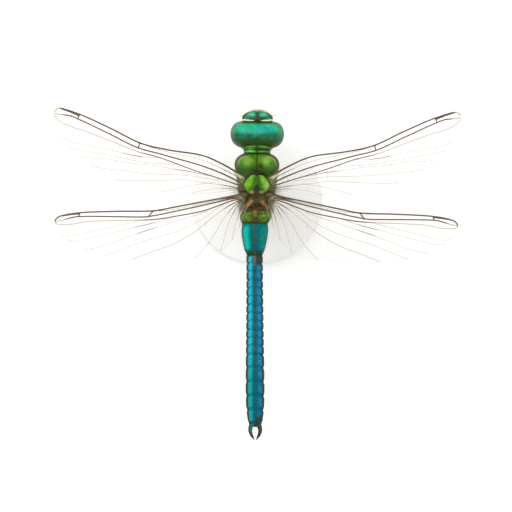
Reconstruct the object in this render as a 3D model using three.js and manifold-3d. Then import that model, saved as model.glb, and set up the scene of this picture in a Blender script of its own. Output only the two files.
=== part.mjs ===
// A life-size emperor dragonfly (a male of the genus Anax) in level flight, legs tucked up, on a stand.
// Millimetres, +Z up. The head points along -Y, the wings spread along X, and the stand rests on Z = 0.
// Along the body a place is given by its station: the distance behind the front of the face.

import * as THREE from "three";
import { mergeVertices } from "three/addons/utils/BufferGeometryUtils.js";
import Module from "manifold-3d";

const wasm = await Module();
wasm.setup();

// ---------------------------------------------------------------- driving dimensions

const BODY_LENGTH = 80; // from the lip to the tips of the claspers
const AXIS_HEIGHT = 28; // of the middle of the thorax over the floor
const WING_THICKNESS = 0.5;
const SEAM = 0.1; // the gap left between neighbouring parts

const EYES = { station: 6.15, z: 0.3, halfWidth: 6.5, front: 3.2, back: 3.6, up: 4.4, down: 4.5 };
const THORAX = { front: 10.9, back: 24.5 };
const CHEST_LEAN = 0.35; // how far the front of the chest falls back for each millimetre down
const ABDOMEN = { front: 24.6, back: 76.1, rise: 1.2, droop: 0.0017 };
// The tail bends a little: to the left just behind the trunk, and back to the right from the waist on.
const BEND = { left: 0.36, waist: 34, back: 0.014 };
const NOTCH = 0.17; // how far the abdomen is drawn in at each cross ridge
const LOWER_CLASPER_END = 77.8;

const STAND = { radius: 16, height: 3, chamfer: 0.5 };
const ROD = { radius: 1, station: 21.6 }; // the rod rises from the middle of the base

// Borders of the ten abdominal rings, and how many swells each one has between its cross ridges.
const RING_BORDERS = [24.6, 27.7, 35.4, 41.4, 47.4, 53.4, 59.3, 65.8, 69.3, 72.7, 76.1];
const RING_SWELLS = [1, 1, 3, 3, 3, 3, 2, 1, 1, 1];

// ---------------------------------------------------------------- places and smooth profiles

const place = (x, station, z) => new THREE.Vector3(x, station - BODY_LENGTH / 2, AXIS_HEIGHT + z);

// A smooth function of one number through a few [at, value] pairs.
function profile(pairs) {
  const at = pairs.map((p) => p[0]);
  const values = pairs.map((p) => p[1]);
  const curve = new THREE.CubicInterpolant(at, values, 1);
  return (t) => curve.evaluate(THREE.MathUtils.clamp(t, at[0], at[at.length - 1]))[0];
}

const steps = (count) => Array.from({ length: count + 1 }, (_, i) => i / count);

// ---------------------------------------------------------------- closed bodies

// Makes a geometry from points and triangles, turned so that its faces point out.
function closedBody(points, faces) {
  let volume = 0;
  for (let i = 0; i < faces.length; i += 3) {
    const [a, b, c] = [points[faces[i]], points[faces[i + 1]], points[faces[i + 2]]];
    volume += a.dot(b.clone().cross(c));
  }
  const ordered = volume < 0 ? faces.slice().reverse() : faces;
  const geometry = new THREE.BufferGeometry().setFromPoints(points);
  return geometry.setIndex(ordered);
}

// A body through rings of points, all of one count, with each end ring closed to its middle.
function loft(rings) {
  const count = rings[0].length;
  const points = rings.flat();
  const faces = [];
  for (let i = 0; i < rings.length - 1; i++) {
    for (let j = 0; j < count; j++) {
      const a = i * count + j;
      const b = i * count + ((j + 1) % count);
      faces.push(a, b, b + count, a, b + count, a + count);
    }
  }
  for (const end of [0, rings.length - 1]) {
    const middle = new THREE.Vector3();
    rings[end].forEach((p) => middle.addScaledVector(p, 1 / count));
    points.push(middle);
    for (let j = 0; j < count; j++) {
      const a = end * count + j;
      const b = end * count + ((j + 1) % count);
      faces.push(...(end === 0 ? [b, a, points.length - 1] : [a, b, points.length - 1]));
    }
  }
  return closedBody(points, faces);
}

// A superellipse ring across the body: its top and bottom heights may differ. Its lower half may lean, so
// that a point under the middle lies further back by `lean` times its depth.
function crossRing(station, middleZ, halfWidth, up, down, power, sides, lean = 0) {
  const ring = [];
  for (let j = 0; j < sides; j++) {
    const turn = (2 * Math.PI * j) / sides;
    const c = Math.cos(turn);
    const s = Math.sin(turn);
    const x = halfWidth * Math.sign(c) * Math.abs(c) ** (2 / power);
    const z = (s > 0 ? up : down) * Math.sign(s) * Math.abs(s) ** (2 / power);
    ring.push(place(x, station + lean * Math.max(0, -z), middleZ + z));
  }
  return ring;
}

// An ellipsoid with its middle at a station, whole or stretched.
function ellipsoid(x, station, z, radii, across = 20, down = 14) {
  const geometry = new THREE.SphereGeometry(1, across, down);
  geometry.scale(...radii);
  const middle = place(x, station, z);
  return geometry.translate(middle.x, middle.y, middle.z);
}

// A tapered limb joint from one point to another, thicker by `swell` at its middle.
function limb(from, to, startRadius, endRadius, swell = 0, sides = 6) {
  const along = to.clone().sub(from).normalize();
  const across = new THREE.Vector3(0, 0, 1).cross(along).normalize();
  const over = along.clone().cross(across);
  const rings = [0, 0.35, 1].map((t) => {
    const radius = THREE.MathUtils.lerp(startRadius, endRadius, t) + swell * Math.sin(Math.PI * t);
    const middle = from.clone().lerp(to, t);
    return Array.from({ length: sides }, (_, j) => {
      const turn = (2 * Math.PI * j) / sides;
      return middle
        .clone()
        .addScaledVector(across, radius * Math.cos(turn))
        .addScaledVector(over, radius * Math.sin(turn));
    });
  });
  return loft(rings);
}

// ---------------------------------------------------------------- cutting and joining

function toSolid(geometry) {
  const bare = geometry.clone();
  bare.deleteAttribute("normal");
  bare.deleteAttribute("uv");
  const merged = mergeVertices(bare, 1e-4);
  const mesh = new wasm.Mesh({
    numProp: 3,
    vertProperties: merged.attributes.position.array,
    triVerts: new Uint32Array(merged.index.array),
  });
  return new wasm.Manifold(mesh);
}

function toGeometry(solid) {
  const mesh = solid.getMesh();
  const geometry = new THREE.BufferGeometry();
  geometry.setAttribute("position", new THREE.BufferAttribute(mesh.vertProperties, 3));
  return geometry.setIndex(new THREE.BufferAttribute(mesh.triVerts, 1));
}

const join = (...geometries) => geometries.map(toSolid).reduce((a, b) => a.add(b));
const cut = (solid, ...tools) => tools.reduce((left, tool) => left.subtract(tool), solid);

// The same geometry grown by SEAM on every side, measured from its own middle.
function grown(geometry, by = SEAM) {
  const bigger = geometry.clone();
  bigger.computeBoundingBox();
  const middle = bigger.boundingBox.getCenter(new THREE.Vector3());
  const size = bigger.boundingBox.getSize(new THREE.Vector3());
  bigger.translate(-middle.x, -middle.y, -middle.z);
  bigger.scale(...["x", "y", "z"].map((axis) => 1 + (2 * by) / size[axis]));
  return bigger.translate(middle.x, middle.y, middle.z);
}

// ---------------------------------------------------------------- the model

const MATERIALS = {
  eye: { color: 0x17a683, roughness: 0.22, metalness: 0.1 },
  head: { color: 0x3c6b34, roughness: 0.45, metalness: 0 },
  face: { color: 0xd9d6a0, roughness: 0.4, metalness: 0 },
  frons: { color: 0x1ea27c, roughness: 0.3, metalness: 0.1 },
  thorax: { color: 0x5f9130, roughness: 0.45, metalness: 0 },
  abdomen_blue: { color: 0x0f9cc4, roughness: 0.35, metalness: 0 },
  abdomen_teal: { color: 0x0c8f8f, roughness: 0.35, metalness: 0 },
  claspers: { color: 0x2c3a34, roughness: 0.4, metalness: 0 },
  legs: { color: 0x33221a, roughness: 0.5, metalness: 0 },
  wing: { color: 0xe9e4d4, roughness: 0.3, metalness: 0 },
  stand: { color: 0xf2f2f0, roughness: 0.5, metalness: 0 },
  rod: { color: 0xc9ccd0, roughness: 0.3, metalness: 1 },
};

const model = new THREE.Group();

function addPart(name, shape, look) {
  const geometry = shape.isBufferGeometry ? shape : toGeometry(shape);
  const mesh = new THREE.Mesh(geometry, new THREE.MeshStandardMaterial(MATERIALS[look]));
  mesh.name = name;
  model.add(mesh);
}

const SIDES = [
  ["left", 1],
  ["right", -1],
];

// ---------------------------------------------------------------- head

// One eye: half of a bean that lies across the head. At a distance x from the middle its section is an
// ellipse, and the half axes shrink towards the outer end, later in length than in height.
function eyeHalf(side) {
  const innermost = SEAM / 2;
  const rings = [0, 0.3, 0.52, 0.7, 0.83, 0.92, 0.98].map((t) => {
    const x = THREE.MathUtils.lerp(innermost, EYES.halfWidth, t);
    const shrink = (power) => Math.sqrt(1 - (x / EYES.halfWidth) ** power);
    const ring = [];
    for (let j = 0; j < 18; j++) {
      const turn = (2 * Math.PI * j) / 18;
      const lengthwise = Math.cos(turn) > 0 ? EYES.back * shrink(4.0) : EYES.front * shrink(5.2);
      const upright = Math.sin(turn) > 0 ? EYES.up * shrink(2.7) : EYES.down * shrink(2.2);
      const station = EYES.station + lengthwise * Math.cos(turn);
      ring.push(place(side * x, station, EYES.z + upright * Math.sin(turn)));
    }
    return ring;
  });
  return loft(rings);
}

// The capsule between and behind the eyes: a flat-backed block whose rear face meets the neck.
const CAPSULE = [
  [3.5, 2.6, 2.4],
  [4.2, 3.7, 3.4],
  [7.0, 4.4, 3.9],
  [8.8, 4.3, 3.8],
  [9.6, 3.7, 3.4],
  [10.0, 3.25, 2.9],
];
const core = loft(
  CAPSULE.map(([station, halfWidth, halfHeight]) =>
    crossRing(station, -0.7, halfWidth, halfHeight, halfHeight, 2.3, 18),
  ),
);
const eyes = { left: eyeHalf(1), right: eyeHalf(-1) };
const coreCut = toSolid(grown(core));
const eyeCuts = [toSolid(grown(eyes.left)), toSolid(grown(eyes.right))];

// The mouth's opening into the eyes: the face and the lip sit in it.
const faceBed = ellipsoid(0, 2.5, -2.6, [3.6, 2.6, 4.2], 14, 8);

for (const [name, side] of SIDES) {
  addPart(`eye_${name}`, cut(toSolid(eyes[name]), coreCut, toSolid(grown(faceBed))), "eye");
  const antennaRoot = place(side * 1.5, 2.15, 3.35);
  const antennaKnee = place(side * 2.2, 1.95, 3.7);
  const antennaTip = place(side * 4.7, 1.75, 4.6);
  const antenna = join(
    limb(antennaRoot, antennaKnee, 0.42, 0.32),
    limb(antennaKnee, antennaTip, 0.3, 0.25),
  );
  addPart(`antenna_${name}`, antenna, "legs");
}
addPart("head_capsule", cut(toSolid(core), toSolid(grown(faceBed))), "head");

const frons = ellipsoid(0, 2.45, 1.25, [3.75, 1.75, 1.9], 14, 8);
const clypeus = ellipsoid(0, 1.8, -0.9, [3.2, 1.8, 1.7], 14, 8);
const labrum = ellipsoid(0, 1.95, -3.1, [2.6, 1.7, 1.35], 12, 6);
const vertex = ellipsoid(0, 2.55, 3.35, [0.95, 0.75, 0.85], 10, 6);
const mandible = (side) => ellipsoid(side * 2.3, 2.7, -3.1, [1.15, 1.5, 1.5], 10, 6);

const face = cut(join(frons, clypeus), coreCut, ...eyeCuts);
addPart("frons_and_clypeus", face, "frons");
const faceCut = toSolid(grown(frons)).add(toSolid(grown(clypeus)));
addPart("labrum", cut(toSolid(labrum), coreCut, faceCut, ...eyeCuts), "face");
addPart("vertex", cut(toSolid(vertex), faceCut, ...eyeCuts), "head");

const labium = ellipsoid(0, 4.4, -4.3, [2.7, 2.7, 1.2], 12, 6);
const lipCut = toSolid(grown(labrum));
for (const [name, side] of SIDES) {
  const shape = cut(toSolid(mandible(side)), lipCut, faceCut, coreCut, ...eyeCuts);
  addPart(`mandible_${name}`, shape, "face");
}
const mandibleCuts = SIDES.map(([, side]) => toSolid(grown(mandible(side))));
addPart("labium", cut(toSolid(labium), lipCut, coreCut, ...mandibleCuts, ...eyeCuts), "face");

// ---------------------------------------------------------------- neck and thorax

// The prothorax: a short rounded collar between the head and the trunk.
const COLLAR = [
  [10.1, 2.9, 2.5],
  [10.25, 3.25, 2.9],
  [10.55, 3.2, 2.9],
  [10.8, 2.95, 2.6],
];
const collar = loft(
  COLLAR.map(([station, halfWidth, halfHeight]) =>
    crossRing(station, -0.4, halfWidth, halfHeight, halfHeight, 2.1, 20, station > 10.3 ? CHEST_LEAN : 0),
  ),
);
addPart("prothorax", collar, "head");

const thoraxHalfWidth = profile([
  [THORAX.front, 3.0],
  [12.1, 4.5],
  [14.4, 5.1],
  [17.5, 4.75],
  [21, 4.3],
  [THORAX.back, 3.7],
]);
const thoraxTop = profile([
  [THORAX.front, 1.6],
  [12.1, 3.1],
  [14.4, 4.5],
  [17.5, 5.3],
  [21, 5.2],
  [THORAX.back, 4.3],
]);
const thoraxBottom = profile([
  [THORAX.front, -2.6],
  [12.1, -4.6],
  [14.4, -6.0],
  [17.5, -6.6],
  [21, -5.9],
  [THORAX.back, -3.0],
]);
const trunk = loft(
  [0, 0.05, 0.13, 0.25, 0.42, 0.6, 0.78, 0.92, 1].map((t) => {
    const station = THREE.MathUtils.lerp(THORAX.front, THORAX.back, t);
    const [halfWidth, lean] = [thoraxHalfWidth(station), CHEST_LEAN * (1 - t) ** 2];
    return crossRing(station, 0, halfWidth, thoraxTop(station), -thoraxBottom(station), 2.25, 18, lean);
  }),
);
// The domed plates of the back, one of each pair to a side: [x, station, z, radii].
const BACK_PLATES = [
  [2.45, 13.6, 1.5, [2.95, 2.75, 3.5]],
  [1.55, 18.2, 4.5, [1.7, 2.1, 1.6]],
  [1.35, 22.3, 4.1, [1.6, 1.6, 1.3]],
];
const plates = SIDES.flatMap(([, side]) =>
  BACK_PLATES.map(([x, station, z, radii]) => ellipsoid(side * x, station, z, radii, 12, 6)),
);
const thoraxCut = [trunk, ...plates].map((part) => toSolid(grown(part))).reduce((a, b) => a.add(b));
addPart("thorax", join(trunk, ...plates), "thorax");

// ---------------------------------------------------------------- abdomen

const abdomenHalfWidth = profile([
  [ABDOMEN.front, 3.6],
  [26, 3.8],
  [28, 3.3],
  [30, 3.2],
  [34, 2.5],
  [36, 2],
  [50, 2.1],
  [68, 2.3],
  [72, 2.2],
  [ABDOMEN.back, 1.7],
]);
const abdomenHalfHeight = profile([
  [ABDOMEN.front, 3.5],
  [27.7, 3.35],
  [32.5, 2.7],
  [36, 1.85],
  [50, 1.85],
  [67, 1.95],
  [72, 1.75],
  [ABDOMEN.back, 1.35],
]);
const abdomenZ = (station) => ABDOMEN.rise - ABDOMEN.droop * (station - ABDOMEN.front) ** 2;
const abdomenX = (station) =>
  BEND.left * THREE.MathUtils.smoothstep(station, 24, 28) - BEND.back * Math.max(0, station - BEND.waist);
const bent = (ring) => ring.map((p) => p.setX(p.x + abdomenX(p.y + BODY_LENGTH / 2)));

RING_SWELLS.forEach((swells, i) => {
  const start = RING_BORDERS[i] + SEAM / 2;
  const end = RING_BORDERS[i + 1] - SEAM / 2;
  const rings = [];
  for (let swell = 0; swell < swells; swell++) {
    const within = i < 2 ? [0, 0.1, 0.3, 0.6, 0.9] : [0, 0.2, 0.8];
    for (const t of within) rings.push((swell + t) / swells);
  }
  rings.push(1);
  const shape = rings.map((t) => {
    const station = THREE.MathUtils.lerp(start, end, t);
    const inSwell = (t * swells) % 1;
    const notch = NOTCH * Math.abs(Math.cos(Math.PI * inSwell)) ** 10;
    const wide = abdomenHalfWidth(station) - notch;
    const high = abdomenHalfHeight(station) - notch;
    return bent(crossRing(station, abdomenZ(station), wide, high, high, 2.15, 14));
  });
  const number = String(i + 1).padStart(2, "0");
  addPart(`abdomen_ring_${number}`, loft(shape), i < 2 ? "abdomen_teal" : "abdomen_blue");
});

// ---------------------------------------------------------------- claspers at the tail

const clasperMiddle = profile([
  [0, 0.8],
  [0.4, 1.2],
  [0.75, 0.85],
  [1, 0.25],
]);
const clasperHalfWidth = profile([
  [0, 0.7],
  [0.4, 0.5],
  [0.75, 0.4],
  [1, 0.12],
]);

// An upper clasper: a broad leaf that bows outwards and closes towards its fellow at the tip.
function upperClasper(side) {
  const rings = steps(8).map((t) => {
    const station = THREE.MathUtils.lerp(ABDOMEN.back + SEAM / 2, BODY_LENGTH, t);
    const [middle, half] = [clasperMiddle(t), clasperHalfWidth(t)];
    const ring = [];
    for (let j = 0; j < 8; j++) {
      const turn = (2 * Math.PI * j) / 8;
      const x = side * (middle + half * Math.cos(turn));
      ring.push(place(x, station, abdomenZ(station) + 0.35 + 0.28 * Math.sin(turn)));
    }
    return bent(ring);
  });
  return loft(rings);
}
for (const [name, side] of SIDES) addPart(`clasper_${name}`, upperClasper(side), "claspers");

const lowerClasper = loft(
  steps(4).map((t) => {
    const station = THREE.MathUtils.lerp(ABDOMEN.back + SEAM / 2, LOWER_CLASPER_END, t);
    return bent(crossRing(station, abdomenZ(station) - 0.75, 0.85 - 0.3 * t, 0.26, 0.26, 2, 8));
  }),
);
addPart("clasper_lower", lowerClasper, "claspers");

// ---------------------------------------------------------------- wings

// Each wing lies between a leading and a trailing edge, both given by a few points [x, station] from the
// root to the tip. `nodus` is the kink in the leading edge, half way out.
const WINGS = {
  forewing: {
    leading: [
      [2.2, 17],
      [8.5, 13.5],
      [13.5, 11.5],
      [21, 10.4],
      [28, 8.8],
      [35, 5.4],
      [42, 2.2],
      [47.2, 0.6],
      [48.5, 1.5],
    ],
    trailing: [
      [2.2, 19.3],
      [8.2, 20.2],
      [15.0, 20.8],
      [22.5, 20.5],
      [30.5, 18.9],
      [37.5, 15.8],
      [43.6, 11.3],
      [47.4, 6.2],
      [48.75, 2.8],
    ],
    rootZ: 4.75,
    dihedral: 4,
  },
  hindwing: {
    leading: [
      [2.2, 20.5],
      [6.5, 21.4],
      [13, 22.7],
      [19.5, 24],
      [25, 25],
      [33.5, 25.2],
      [42, 25.6],
      [47, 26.5],
      [48.3, 27.7],
    ],
    trailing: [
      [2.2, 23.8],
      [5.0, 30.6],
      [9.4, 35.0],
      [17.0, 36.4],
      [26.0, 36.8],
      [34.5, 36.2],
      [42.0, 34.0],
      [46.8, 30.9],
      [48.3, 28.5],
    ],
    rootZ: 4.6,
    dihedral: 1.5,
  },
};

function wingPlate(wing, side) {
  const edge = (points) => new THREE.SplineCurve(points.map((p) => new THREE.Vector2(...p)));
  const leading = edge(wing.leading);
  const trailing = edge(wing.trailing);
  const rise = Math.tan(THREE.MathUtils.degToRad(wing.dihedral));
  const rings = steps(26).map((t) => {
    const front = leading.getPoint(t);
    const back = trailing.getPoint(t);
    const at = (share, lift) => {
      const p = front.clone().lerp(back, share);
      const z = wing.rootZ + rise * (p.x - wing.leading[0][0]) + lift;
      return place(side * p.x, p.y, z);
    };
    const half = WING_THICKNESS / 2;
    return [at(0, half), at(1, half), at(1, -half), at(0, -half)];
  });
  return loft(rings);
}

for (const [kind, wing] of Object.entries(WINGS)) {
  for (const [name, side] of SIDES) {
    addPart(`${kind}_${name}`, cut(toSolid(wingPlate(wing, side)), thoraxCut), "wing");
  }
}

// ---------------------------------------------------------------- legs

// Tucked up for flight: each thigh runs forward along the chest and each shin folds back under it.
// Points are [x, station, z]: hip, end of the trochanter, knee, ankle and toe.
const LEGS = {
  front: {
    points: [
      [1.5, 12.9, -3.2],
      [2.0, 12.2, -5.9],
      [3.4, 8.1, -6.3],
      [1.3, 12.4, -8.1],
      [1.1, 14.8, -8.5],
    ],
    thigh: 0.44,
  },
  mid: {
    points: [
      [2.1, 15.6, -5.8],
      [2.7, 15.5, -7.3],
      [2.9, 8.9, -7.9],
      [2.6, 16.2, -9.3],
      [2.0, 19.3, -9.6],
    ],
    thigh: 0.48,
  },
  hind: {
    points: [
      [2.4, 19.0, -5.6],
      [3.1, 18.9, -7.2],
      [4.5, 12.6, -6.1],
      [3.8, 20.2, -8.4],
      [3.1, 24.0, -8.2],
    ],
    thigh: 0.52,
  },
};

for (const [kind, leg] of Object.entries(LEGS)) {
  for (const [name, side] of SIDES) {
    const [hip, ring, knee, ankle, toe] = leg.points.map(([x, station, z]) => place(side * x, station, z));
    const solid = join(
      limb(hip, ring, 0.75, 0.55),
      limb(ring, knee, 0.52, leg.thigh - 0.08, 0.08),
      limb(knee, ankle, 0.34, 0.27),
      limb(ankle, toe, 0.3, 0.25),
      new THREE.IcosahedronGeometry(leg.thigh).translate(...knee.toArray()),
    );
    addPart(`leg_${kind}_${name}`, cut(solid, thoraxCut), "legs");
  }
}

// ---------------------------------------------------------------- display stand

const basePlace = place(0, ROD.station, -AXIS_HEIGHT);
const baseProfile = [
  [0, 0],
  [STAND.radius - STAND.chamfer, 0],
  [STAND.radius, STAND.chamfer],
  [STAND.radius, STAND.height - STAND.chamfer],
  [STAND.radius - STAND.chamfer, STAND.height],
  [0, STAND.height],
].map(([r, z]) => new THREE.Vector2(r, z));
const base = new THREE.LatheGeometry(baseProfile, 36).rotateX(Math.PI / 2);
base.translate(basePlace.x, basePlace.y, 0);
addPart("stand_base", toSolid(base), "stand");

const rodTop = place(0, ROD.station, -4);
const rodHeight = rodTop.z - STAND.height;
const rod = new THREE.CylinderGeometry(ROD.radius, ROD.radius, rodHeight, 16).rotateX(Math.PI / 2);
rod.translate(rodTop.x, rodTop.y, STAND.height + rodHeight / 2);
addPart("stand_rod", cut(toSolid(rod), thoraxCut), "rod");

export default model;
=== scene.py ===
"""A life-size emperor dragonfly in level flight on a display stand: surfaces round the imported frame.

Shapes are worked out in millimetres in the insect's own places: x towards its left side, the station s
behind the front of the face, and the height z over the middle of the thorax. place() turns them into
the frame's metres. A surface is a grid of points: its rows follow one another along the piece and its
columns go round it. Markings are kept on the points as numbers from 0 to 1, and the finishes read them.
"""

import bpy
import numpy as np
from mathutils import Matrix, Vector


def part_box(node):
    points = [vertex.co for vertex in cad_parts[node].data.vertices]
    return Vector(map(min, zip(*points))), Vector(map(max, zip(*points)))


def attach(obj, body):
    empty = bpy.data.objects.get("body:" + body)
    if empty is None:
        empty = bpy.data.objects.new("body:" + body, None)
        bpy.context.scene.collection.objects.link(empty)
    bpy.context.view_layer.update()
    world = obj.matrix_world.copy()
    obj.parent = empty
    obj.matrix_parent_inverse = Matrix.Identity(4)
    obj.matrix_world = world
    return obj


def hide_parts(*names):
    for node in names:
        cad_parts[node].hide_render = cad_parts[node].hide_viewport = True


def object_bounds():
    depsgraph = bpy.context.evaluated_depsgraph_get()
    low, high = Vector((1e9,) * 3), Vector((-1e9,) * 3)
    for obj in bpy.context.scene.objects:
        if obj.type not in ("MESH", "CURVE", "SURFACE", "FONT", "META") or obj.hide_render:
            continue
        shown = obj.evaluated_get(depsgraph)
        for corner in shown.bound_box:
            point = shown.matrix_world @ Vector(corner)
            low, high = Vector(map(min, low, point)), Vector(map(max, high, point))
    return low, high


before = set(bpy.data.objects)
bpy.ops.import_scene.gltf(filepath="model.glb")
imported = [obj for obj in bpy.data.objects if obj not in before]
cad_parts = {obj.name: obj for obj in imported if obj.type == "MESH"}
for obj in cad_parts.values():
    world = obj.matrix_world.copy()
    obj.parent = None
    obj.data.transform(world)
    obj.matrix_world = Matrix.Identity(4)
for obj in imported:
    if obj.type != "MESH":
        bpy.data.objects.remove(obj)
CAD_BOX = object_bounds()

# ---------------------------------------------------------------- places taken from the frame

MM = 0.001
COLLAR_DROP = 0.4  # how far the middle of the collar lies under the middle of the thorax
FRONT_Y = CAD_BOX[0].y
AXIS_Z = sum(corner.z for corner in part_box("prothorax")) / 2 + COLLAR_DROP * MM
FLOOR = -AXIS_Z / MM
BODY_LENGTH = (CAD_BOX[1].y - CAD_BOX[0].y) / MM
SIDES = {"left": 1, "right": -1}

rng = np.random.default_rng(11)


def place(points):
    """Points [x, station, z] in millimetres as points of the frame in metres."""
    return np.asarray(points, float) * MM + np.array([0.0, FRONT_Y, AXIS_Z])


def station_of(y):
    """The station, in millimetres, of a place in the frame."""
    return (y - FRONT_Y) / MM


# ---------------------------------------------------------------- smooth numbers


def turns(count):
    """Equal turns round a circle, as a row of columns."""
    return np.linspace(0, 2 * np.pi, count, endpoint=False)[None, :]


def steps(count, low=0.0, high=1.0):
    """Equal steps from low to high, as a column of rows."""
    return np.linspace(low, high, count)[:, None]


def rise(value, low, high):
    """0 below low and 1 above high, with the smooth step 3t^2 - 2t^3 between them."""
    t = np.clip((value - low) / (high - low), 0, 1)
    return t * t * (3 - 2 * t)


def bell(value, middle, width):
    """A bell of height 1 round a middle: e to the power of minus the squared distance over the width."""
    return np.exp(-(((value - middle) / width) ** 2))


def spot(x, s, middle, size):
    """A soft oval patch on the plane of x and station."""
    return bell(x, middle[0], size[0]) * bell(s, middle[1], size[1])


def power(value, exponent):
    """A power that keeps the sign of the number."""
    return np.sign(value) * np.abs(value) ** exponent


def smooth(table, at):
    """A cubic through [place, value] pairs that never overshoots them.

    Each stretch is a Hermite cubic, and the slope at a pair is the harmonic mean of the slopes beside it.
    """
    x, y = np.array(table, float).T
    at = np.clip(at, x[0], x[-1])
    gap = np.diff(x)
    slope = np.diff(y) / gap
    alike = slope[:-1] * slope[1:] > 0
    inner = 2 * slope[:-1] * slope[1:] / np.where(alike, slope[:-1] + slope[1:], 1)
    bend = np.concatenate([[slope[0]], np.where(alike, inner, 0), [slope[-1]]])
    i = np.clip(np.searchsorted(x, at, side="right") - 1, 0, len(gap) - 1)
    t = (at - x[i]) / gap[i]
    start = (2 * t**3 - 3 * t**2 + 1) * y[i] + (t**3 - 2 * t**2 + t) * gap[i] * bend[i]
    return start + (3 * t**2 - 2 * t**3) * y[i + 1] + (t**3 - t**2) * gap[i] * bend[i + 1]


def through(points, t):
    """A Catmull-Rom curve through points, with t from 0 at the first to 1 at the last."""
    points = np.array(points, float)
    last = len(points) - 1
    i = np.minimum((last * t).astype(int), last - 1)
    w = (last * t - i)[:, None]
    before, here, ahead, beyond = (points[np.clip(i + k, 0, last)] for k in (-1, 0, 1, 2))
    leave, arrive = (ahead - before) / 2, (beyond - here) / 2
    cubic = (2 * here - 2 * ahead + leave + arrive) * w**3
    return cubic + (3 * ahead - 3 * here - 2 * leave - arrive) * w**2 + leave * w + here


def unit(vectors):
    """Vectors brought to length 1."""
    return vectors / np.maximum(np.linalg.norm(vectors, axis=-1, keepdims=True), 1e-12)


# ---------------------------------------------------------------- surfaces


def turned_out(shape):
    """The closed shape with its faces pointing out: reversed where its volume comes out negative."""
    p = shape["points"] - shape["points"].mean(0)
    quads, tris = shape["quads"], shape["tris"]
    corners = np.concatenate([quads[:, [0, 1, 2]], quads[:, [0, 2, 3]], tris])
    volume = np.sum(p[corners[:, 0]] * np.cross(p[corners[:, 1]], p[corners[:, 2]]))
    if volume < 0:
        shape["quads"], shape["tris"] = quads[:, ::-1], tris[:, ::-1]
    return shape


def skin(points, **marks):
    """The closed surface over a grid: the last column joins the first and each end row its own middle."""
    rows, columns = points.shape[:2]
    here = np.arange(columns)
    after = (here + 1) % columns
    row = columns * np.arange(rows - 1)[:, None]
    quads = np.stack([row + here, row + after, row + after + columns, row + here + columns], -1)
    first = np.stack([after, here, np.full(columns, rows * columns)], -1)
    end = columns * (rows - 1)
    last = np.stack([here + end, after + end, np.full(columns, rows * columns + 1)], -1)
    middles = np.stack([points[0].mean(0), points[-1].mean(0)])
    kept = {}
    for name, values in marks.items():
        values = np.broadcast_to(values, (rows, columns))
        kept[name] = np.concatenate([values.ravel(), [values[0].mean(), values[-1].mean()]])
    shape = {
        "points": np.concatenate([points.reshape(-1, 3), middles]),
        "quads": quads.reshape(-1, 4),
        "tris": np.concatenate([first, last]),
        "marks": kept,
    }
    return turned_out(shape)


def together(*shapes):
    """Several shapes as one. A marking that a shape doesn't have is 0 on it."""
    counts = np.cumsum([0] + [len(shape["points"]) for shape in shapes])
    names = sorted({name for shape in shapes for name in shape["marks"]})
    return {
        "points": np.concatenate([shape["points"] for shape in shapes]),
        "quads": np.concatenate([shape["quads"] + n for shape, n in zip(shapes, counts)]),
        "tris": np.concatenate([shape["tris"] + n for shape, n in zip(shapes, counts)]),
        "marks": {
            name: np.concatenate([s["marks"].get(name, np.zeros(len(s["points"]))) for s in shapes])
            for name in names
        },
    }


def on_side(shape, side):
    """A shape made for the left, as it is or mirrored to the right with its faces still pointing out."""
    if side > 0:
        return shape
    return {
        "points": shape["points"] * np.array([-1, 1, 1]),
        "quads": shape["quads"][:, ::-1],
        "tris": shape["tris"][:, ::-1],
        "marks": shape["marks"],
    }


def on_both(shape):
    """A shape made for the left, with its mirror image."""
    return together(shape, on_side(shape, -1))


def facing(points):
    """Unit normals of a grid, from the cross product of its differences along and round, turned outwards."""
    along = np.gradient(points, axis=0)
    around = np.roll(points, -1, axis=1) - np.roll(points, 1, axis=1)
    normal = unit(np.cross(along, around))
    outward = points - points.mean(1, keepdims=True)
    return normal * np.where(np.sum(normal * outward) < 0, -1, 1)


def raised(points, height):
    """A grid with every point moved out along its normal by a height in millimetres."""
    return points + facing(points) * np.broadcast_to(height, points.shape[:2])[..., None]


def ball(middle, radii, rows, columns):
    """The grid of an ellipsoid with its poles to the left and right.

    x = a cos(p), s = b sin(p) cos(q) and z = c sin(p) sin(q).
    """
    p, q = steps(rows, 0.03, np.pi - 0.03), turns(columns)
    x = np.cos(p) + 0 * q
    s, z = np.sin(p) * np.cos(q), np.sin(p) * np.sin(q)
    return np.array(middle) + np.stack([x, s, z], -1) * np.array(radii)


def oval_rings(stations, middle_z, half_width, up, down, exponent, columns, lean=0.0):
    """Rings across the body: |x/w|^n + |z/h|^n = 1, with its own height above and below the middle.

    The lower half leans back: a point under the middle has its station moved by lean times its depth.
    """
    turn = turns(columns)
    x = half_width * power(np.cos(turn), 2 / exponent)
    z = np.where(np.sin(turn) > 0, up, down) * power(np.sin(turn), 2 / exponent)
    return np.stack([x, stations + lean * np.maximum(0, -z), middle_z + z], -1)


def sleeve(table, s, middle_z, exponent, columns, lean=0.0):
    """Rings across the body with the half widths and half heights of a table [station, width, height]."""
    wide, high = smooth([row[:2] for row in table], s), smooth([(row[0], row[2]) for row in table], s)
    return oval_rings(s, middle_z, wide, high, high, exponent, columns, lean)


def tube(path, radius, sides, flatness=1.0, **marks):
    """A closed tube along a path: a circle of the given radius across it, lower than it is wide by flatness.

    The circle stands on the path's direction, with one axis as near to level as it can be.
    """
    path = np.asarray(path, float)
    along = unit(np.gradient(path, axis=0))
    level = unit(np.cross(along, [0.013, 0.021, 1.0]))
    over = np.cross(level, along)
    turn = turns(sides)[..., None]
    radius = np.broadcast_to(radius, len(path))[:, None, None]
    ring = np.cos(turn) * level[:, None] + np.sin(turn) * over[:, None] * flatness
    kept = {name: np.broadcast_to(value, len(path))[:, None] for name, value in marks.items()}
    return skin(path[:, None] + radius * ring, **kept)


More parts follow.
